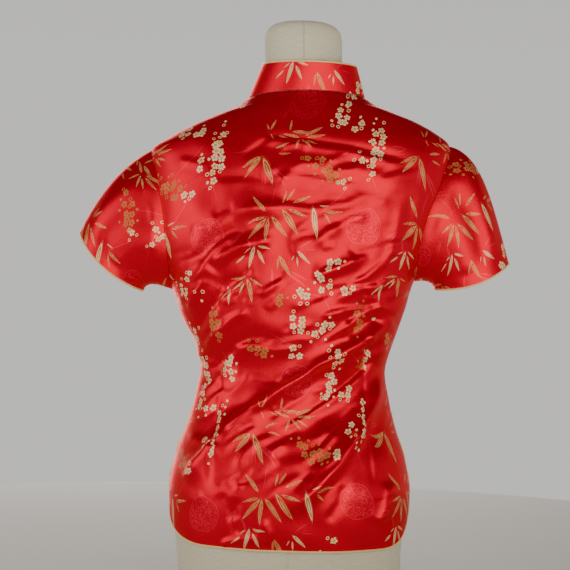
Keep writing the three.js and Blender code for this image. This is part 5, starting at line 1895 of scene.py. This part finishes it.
@dataclass
class Closure:
    """A straight knotted closure: a doubled cord that lies on the cloth, with a ball knot in its middle.

    Attributes:
        name: the CAD node that it replaces.
        point: gives points of the cloth at shares from -1 to 1 of the closure.
        out: gives the ways out of the cloth there.
        lift: how far the cord's underside stands off the bare surface.
        steps: steps along it.
    """

    name: str
    point: Callable[[Array], Array]
    out: Callable[[Array], Array]
    lift: float = 0.9
    steps: int = 72

    def _lines(self) -> tuple[Array, Array, Array, Array]:
        """Gives the shares along the closure, its middle line, the ways out and the ways across."""
        share = np.linspace(-1, 1, self.steps + 1)
        middle, out = self.point(share), self.out(share)
        return share, middle, out, unit(np.cross(along_path(middle, False), out))

    def build(self, kit: Kit) -> Thing:
        """Makes the doubled cord, its turned ends and the knot as one piece."""
        share, middle, out, across = self._lines()
        knot = np.exp(-((share / 0.13) ** 2))
        ends = smoothstep((1 - np.abs(share)) * 14)
        apart = (CORD_RADIUS * 1.05) * np.sqrt(np.clip(ends, 0.0, 1)) + 0.4 * knot
        rise = self.lift + CORD_RADIUS + 1.2 * knot
        there = middle + across * apart[:, None] + out * rise[:, None]
        back = (middle - across * apart[:, None] + out * rise[:, None])[::-1]
        path = np.concatenate([there[1:-1], back[1:-1]])
        path, _ = even_path(path, np.concatenate([out[1:-1], out[::-1][1:-1]]), 0.9, True)
        cord = np.column_stack([path, np.full(len(path), CORD_RADIUS)])
        half = self.steps // 2
        paths = [(cord, True), (self._knot(middle[half], out[half], across[half]), True)]
        return place_piece(kit.cord.grow(f"{self.name}_cord", paths, kit.gold), "gold_satin", self.name)

    def _knot(self, middle: Array, out: Array, across: Array) -> Array:
        """Winds a cord over and under itself round a ball."""
        turn = np.linspace(0, 2 * np.pi, 161)[:-1]
        over = (KNOT_RADIUS - CORD_RADIUS * 0.95 + 0.5 * np.cos(12 * turn)) * 0.86
        tall = 0.78 * np.sin(4 * turn)
        wide = np.sqrt(1 - tall**2)
        along = np.cross(out, across)
        ways = (
            out[None] * tall[:, None]
            + along[None] * (wide * np.cos(3 * turn))[:, None]
            + across[None] * (wide * np.sin(3 * turn))[:, None]
        )
        centre = middle + out * (self.lift + KNOT_RADIUS * 0.86)
        return np.column_stack([centre + ways * over[:, None], np.full(len(turn), CORD_RADIUS * 0.9)])

    def tacking(self) -> list[tuple[Array, bool]]:
        """Gives the two rows along which the cord is tacked down by hand."""
        _, middle, out, across = self._lines()
        rows = []
        for side in (-1, 1):
            row = middle + across * side * (CORD_RADIUS * 2.0) + out * (self.lift + 0.5)
            rows.append((np.column_stack([row, np.ones(len(row))])[3:-3], False))
        return rows


def front_closure(name: str, angle: float, height: float, spread: float, rise: float) -> Closure:
    """Gives a closure on the front, its middle at an angle off the centre front and a height."""

    def at(share: Array) -> tuple[Array, Array]:
        """Gives the torso's angle and height at a share of the closure."""
        return 180 + angle + spread * share, height + rise * share

    return Closure(name, lambda share: torso_point(*at(share)), lambda share: torso_normal(*at(share)))


def neck_closure(name: str, share_up: float = 0.32, spread: float = 32) -> Closure:
    """Gives the closure across the collar's front gap."""
    collar = Collar()

    def point(share: Array) -> Array:
        """Gives the band's point at a share of the closure."""
        return collar._point(180 + spread * share, np.full_like(share, share_up))

    def out(share: Array) -> Array:
        """Gives the way out of the band there."""
        turn = np.radians(180 + spread * share)
        return np.stack([np.sin(turn), np.cos(turn), np.zeros_like(turn)], axis=-1)

    return Closure(name, point, out)


@dataclass
class Studio:
    """The camera at the photograph's angle, the pale floor and the soft lights."""

    eye: tuple[float, float, float] = (0.0137, 1.9, 0.45)
    lens: float = 90.2
    roll: float = 1.67
    floor_radius: float = 1350.0
    horizon: str = "#dcdbd7"
    overhead: str = "#645f5c"
    world_strength: float = 0.95

    def build(self, kit: Kit) -> None:
        """Makes the camera, floor, lights and world."""
        camera = bpy.data.objects.new("camera", bpy.data.cameras.new("camera"))
        camera.data.lens = self.lens
        camera.data.sensor_width = 36
        turn = Matrix.Rotation(math.pi, 4, "Z") @ Matrix.Rotation(math.pi / 2, 4, "X")
        turn = turn @ Matrix.Rotation(math.radians(self.roll), 4, "Z")
        camera.matrix_world = Matrix.Translation(Vector(self.eye)) @ turn
        bpy.context.scene.collection.objects.link(camera)
        bpy.context.scene.camera = camera
        turns = np.arange(96) * 2 * np.pi / 96
        rim = np.stack([np.cos(turns), np.sin(turns), np.zeros_like(turns)], axis=1) * self.floor_radius
        mesh_object("floor", rim, [tuple(range(96))], [kit.floor])
        self._light("key", (-0.8, 2.8, 0.5), (0, 0, 0.45), 3.1, 62, "#fffaf4")
        self._light("side", (2.6, 1.5, 0.8), (0, 0, 0.42), 2.0, 26, "#f8f8ff")
        self._light("front", (0.6, -2.6, 0.9), (0, 0, 0.42), 2.4, 60, "#fffaf4")
        self._sky()

    def _sky(self) -> None:
        """Makes the world: pale at the horizon all round, darker overhead, as in a room."""
        world = bpy.data.worlds.new("studio")
        world.use_nodes = True
        tree = world.node_tree
        way = add_node(tree, "ShaderNodeTexCoord", output="Generated")
        height = add_node(tree, "ShaderNodeSeparateXYZ", way, output=2)
        share = add_node(tree, "ShaderNodeMapRange", height, 0.14, 0.6, interpolation_type="SMOOTHSTEP")
        ends = {6: hex_colour(self.horizon), 7: hex_colour(self.overhead)}
        colour = add_node(tree, MIX, share, to=ends, output=2, data_type="RGBA")
        background = tree.nodes["Background"]
        tree.links.new(colour, background.inputs[0])
        background.inputs[1].default_value = self.world_strength
        bpy.context.scene.world = world

    def _light(
        self,
        name: str,
        place: tuple[float, float, float],
        aim: tuple[float, float, float],
        size: float,
        power: float,
        colour: str,
    ) -> None:
        """Makes a square soft light that faces its aim."""
        light = bpy.data.lights.new(name, "AREA")
        light.size = size
        light.energy = power
        light.color = hex_colour(colour)[:3]
        lamp = bpy.data.objects.new(name, light)
        lamp.location = place
        way = Vector(aim) - Vector(place)
        lamp.rotation_euler = way.to_track_quat("-Z", "Y").to_euler()
        lamp.visible_camera = False
        bpy.context.scene.collection.objects.link(lamp)


def sleeve_pair() -> tuple[Sleeve, Sleeve]:
    """Gives the two sleeves; worn cloth hangs a little differently on each side."""
    left = Sleeve(
        "left",
        1.0,
        (287, 2, 514),
        (201, 0, 438),
        41,
        11,
        (38, -20),
        (30, -62),
        origin=(82, 198),
        folds=(
            Crease(2.0, 10, 12, ((60, 4), (48, 40), (40, 80))),
            Crease(-2.2, 9, 12, ((84, 10), (74, 44), (70, 84))),
            Crease(2.0, 12, 10, ((112, 8), (100, 46), (98, 86))),
            Crease(1.8, 12, 12, ((-60, 6), (-50, 44), (-44, 84))),
            Crease(-2.0, 10, 12, ((-98, 10), (-90, 84))),
        ),
    )
    right = Sleeve(
        "right",
        -1.0,
        (282, 2, 489),
        (184, 0, 451),
        40,
        11,
        (46, -8),
        (24, -72),
        origin=(189, 128),
        folds=(
            Crease(2.4, 11, 12, ((34, 4), (44, 40), (50, 84))),
            Crease(-2.0, 10, 10, ((70, 6), (66, 44), (72, 84))),
            Crease(2.2, 12, 12, ((96, 6), (92, 46), (98, 86))),
            Crease(1.8, 12, 12, ((-50, 6), (-58, 44), (-64, 84))),
            Crease(-2.0, 12, 12, ((-92, 10), (-84, 84))),
        ),
    )
    return left, right


def main() -> None:
    """Builds the blouse and its form, one sub-assembly after another."""
    logging.basicConfig(level=logging.INFO, format="%(name)s: %(message)s")
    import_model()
    kit = Kit.make()
    Studio().build(kit)
    DressForm().build(kit)
    LOG.info("dress form built")
    panels = (
        BodyPanel("back", False, Corner(112, 78), Corner(98, 82), 30, (0.46, 0.62), (125.1, 120.8)),
        BodyPanel("main_front", True, Corner(70, 60), Corner(70, 60), 31, (0.48, 0.62), (60.0, 30.0)),
    )
    for panel in panels:
        panel.build(kit)
    SmallRightFront().build(kit)
    Collar().build(kit)
    for sleeve in sleeve_pair():
        sleeve.build(kit)
    closures = (
        neck_closure("closure_neck"),
        front_closure("closure_chest", 26, 600, 10, 20),
        front_closure("closure_underarm", 45, 525, 9, 16),
    )
    for closure in closures:
        closure.build(kit)
    rows = [row for closure in closures for row in closure.tacking()]
    sizes = {"Spacing": 0.0024, "Length": 0.0013, "Radius": 0.00022}
    place_piece(kit.stitches.grow("closure_tacking_stitches", rows, kit.gold_thread, **sizes), "gold_satin")
    LOG.info("closures built and tacked")


if __name__ == "__main__":
    main()
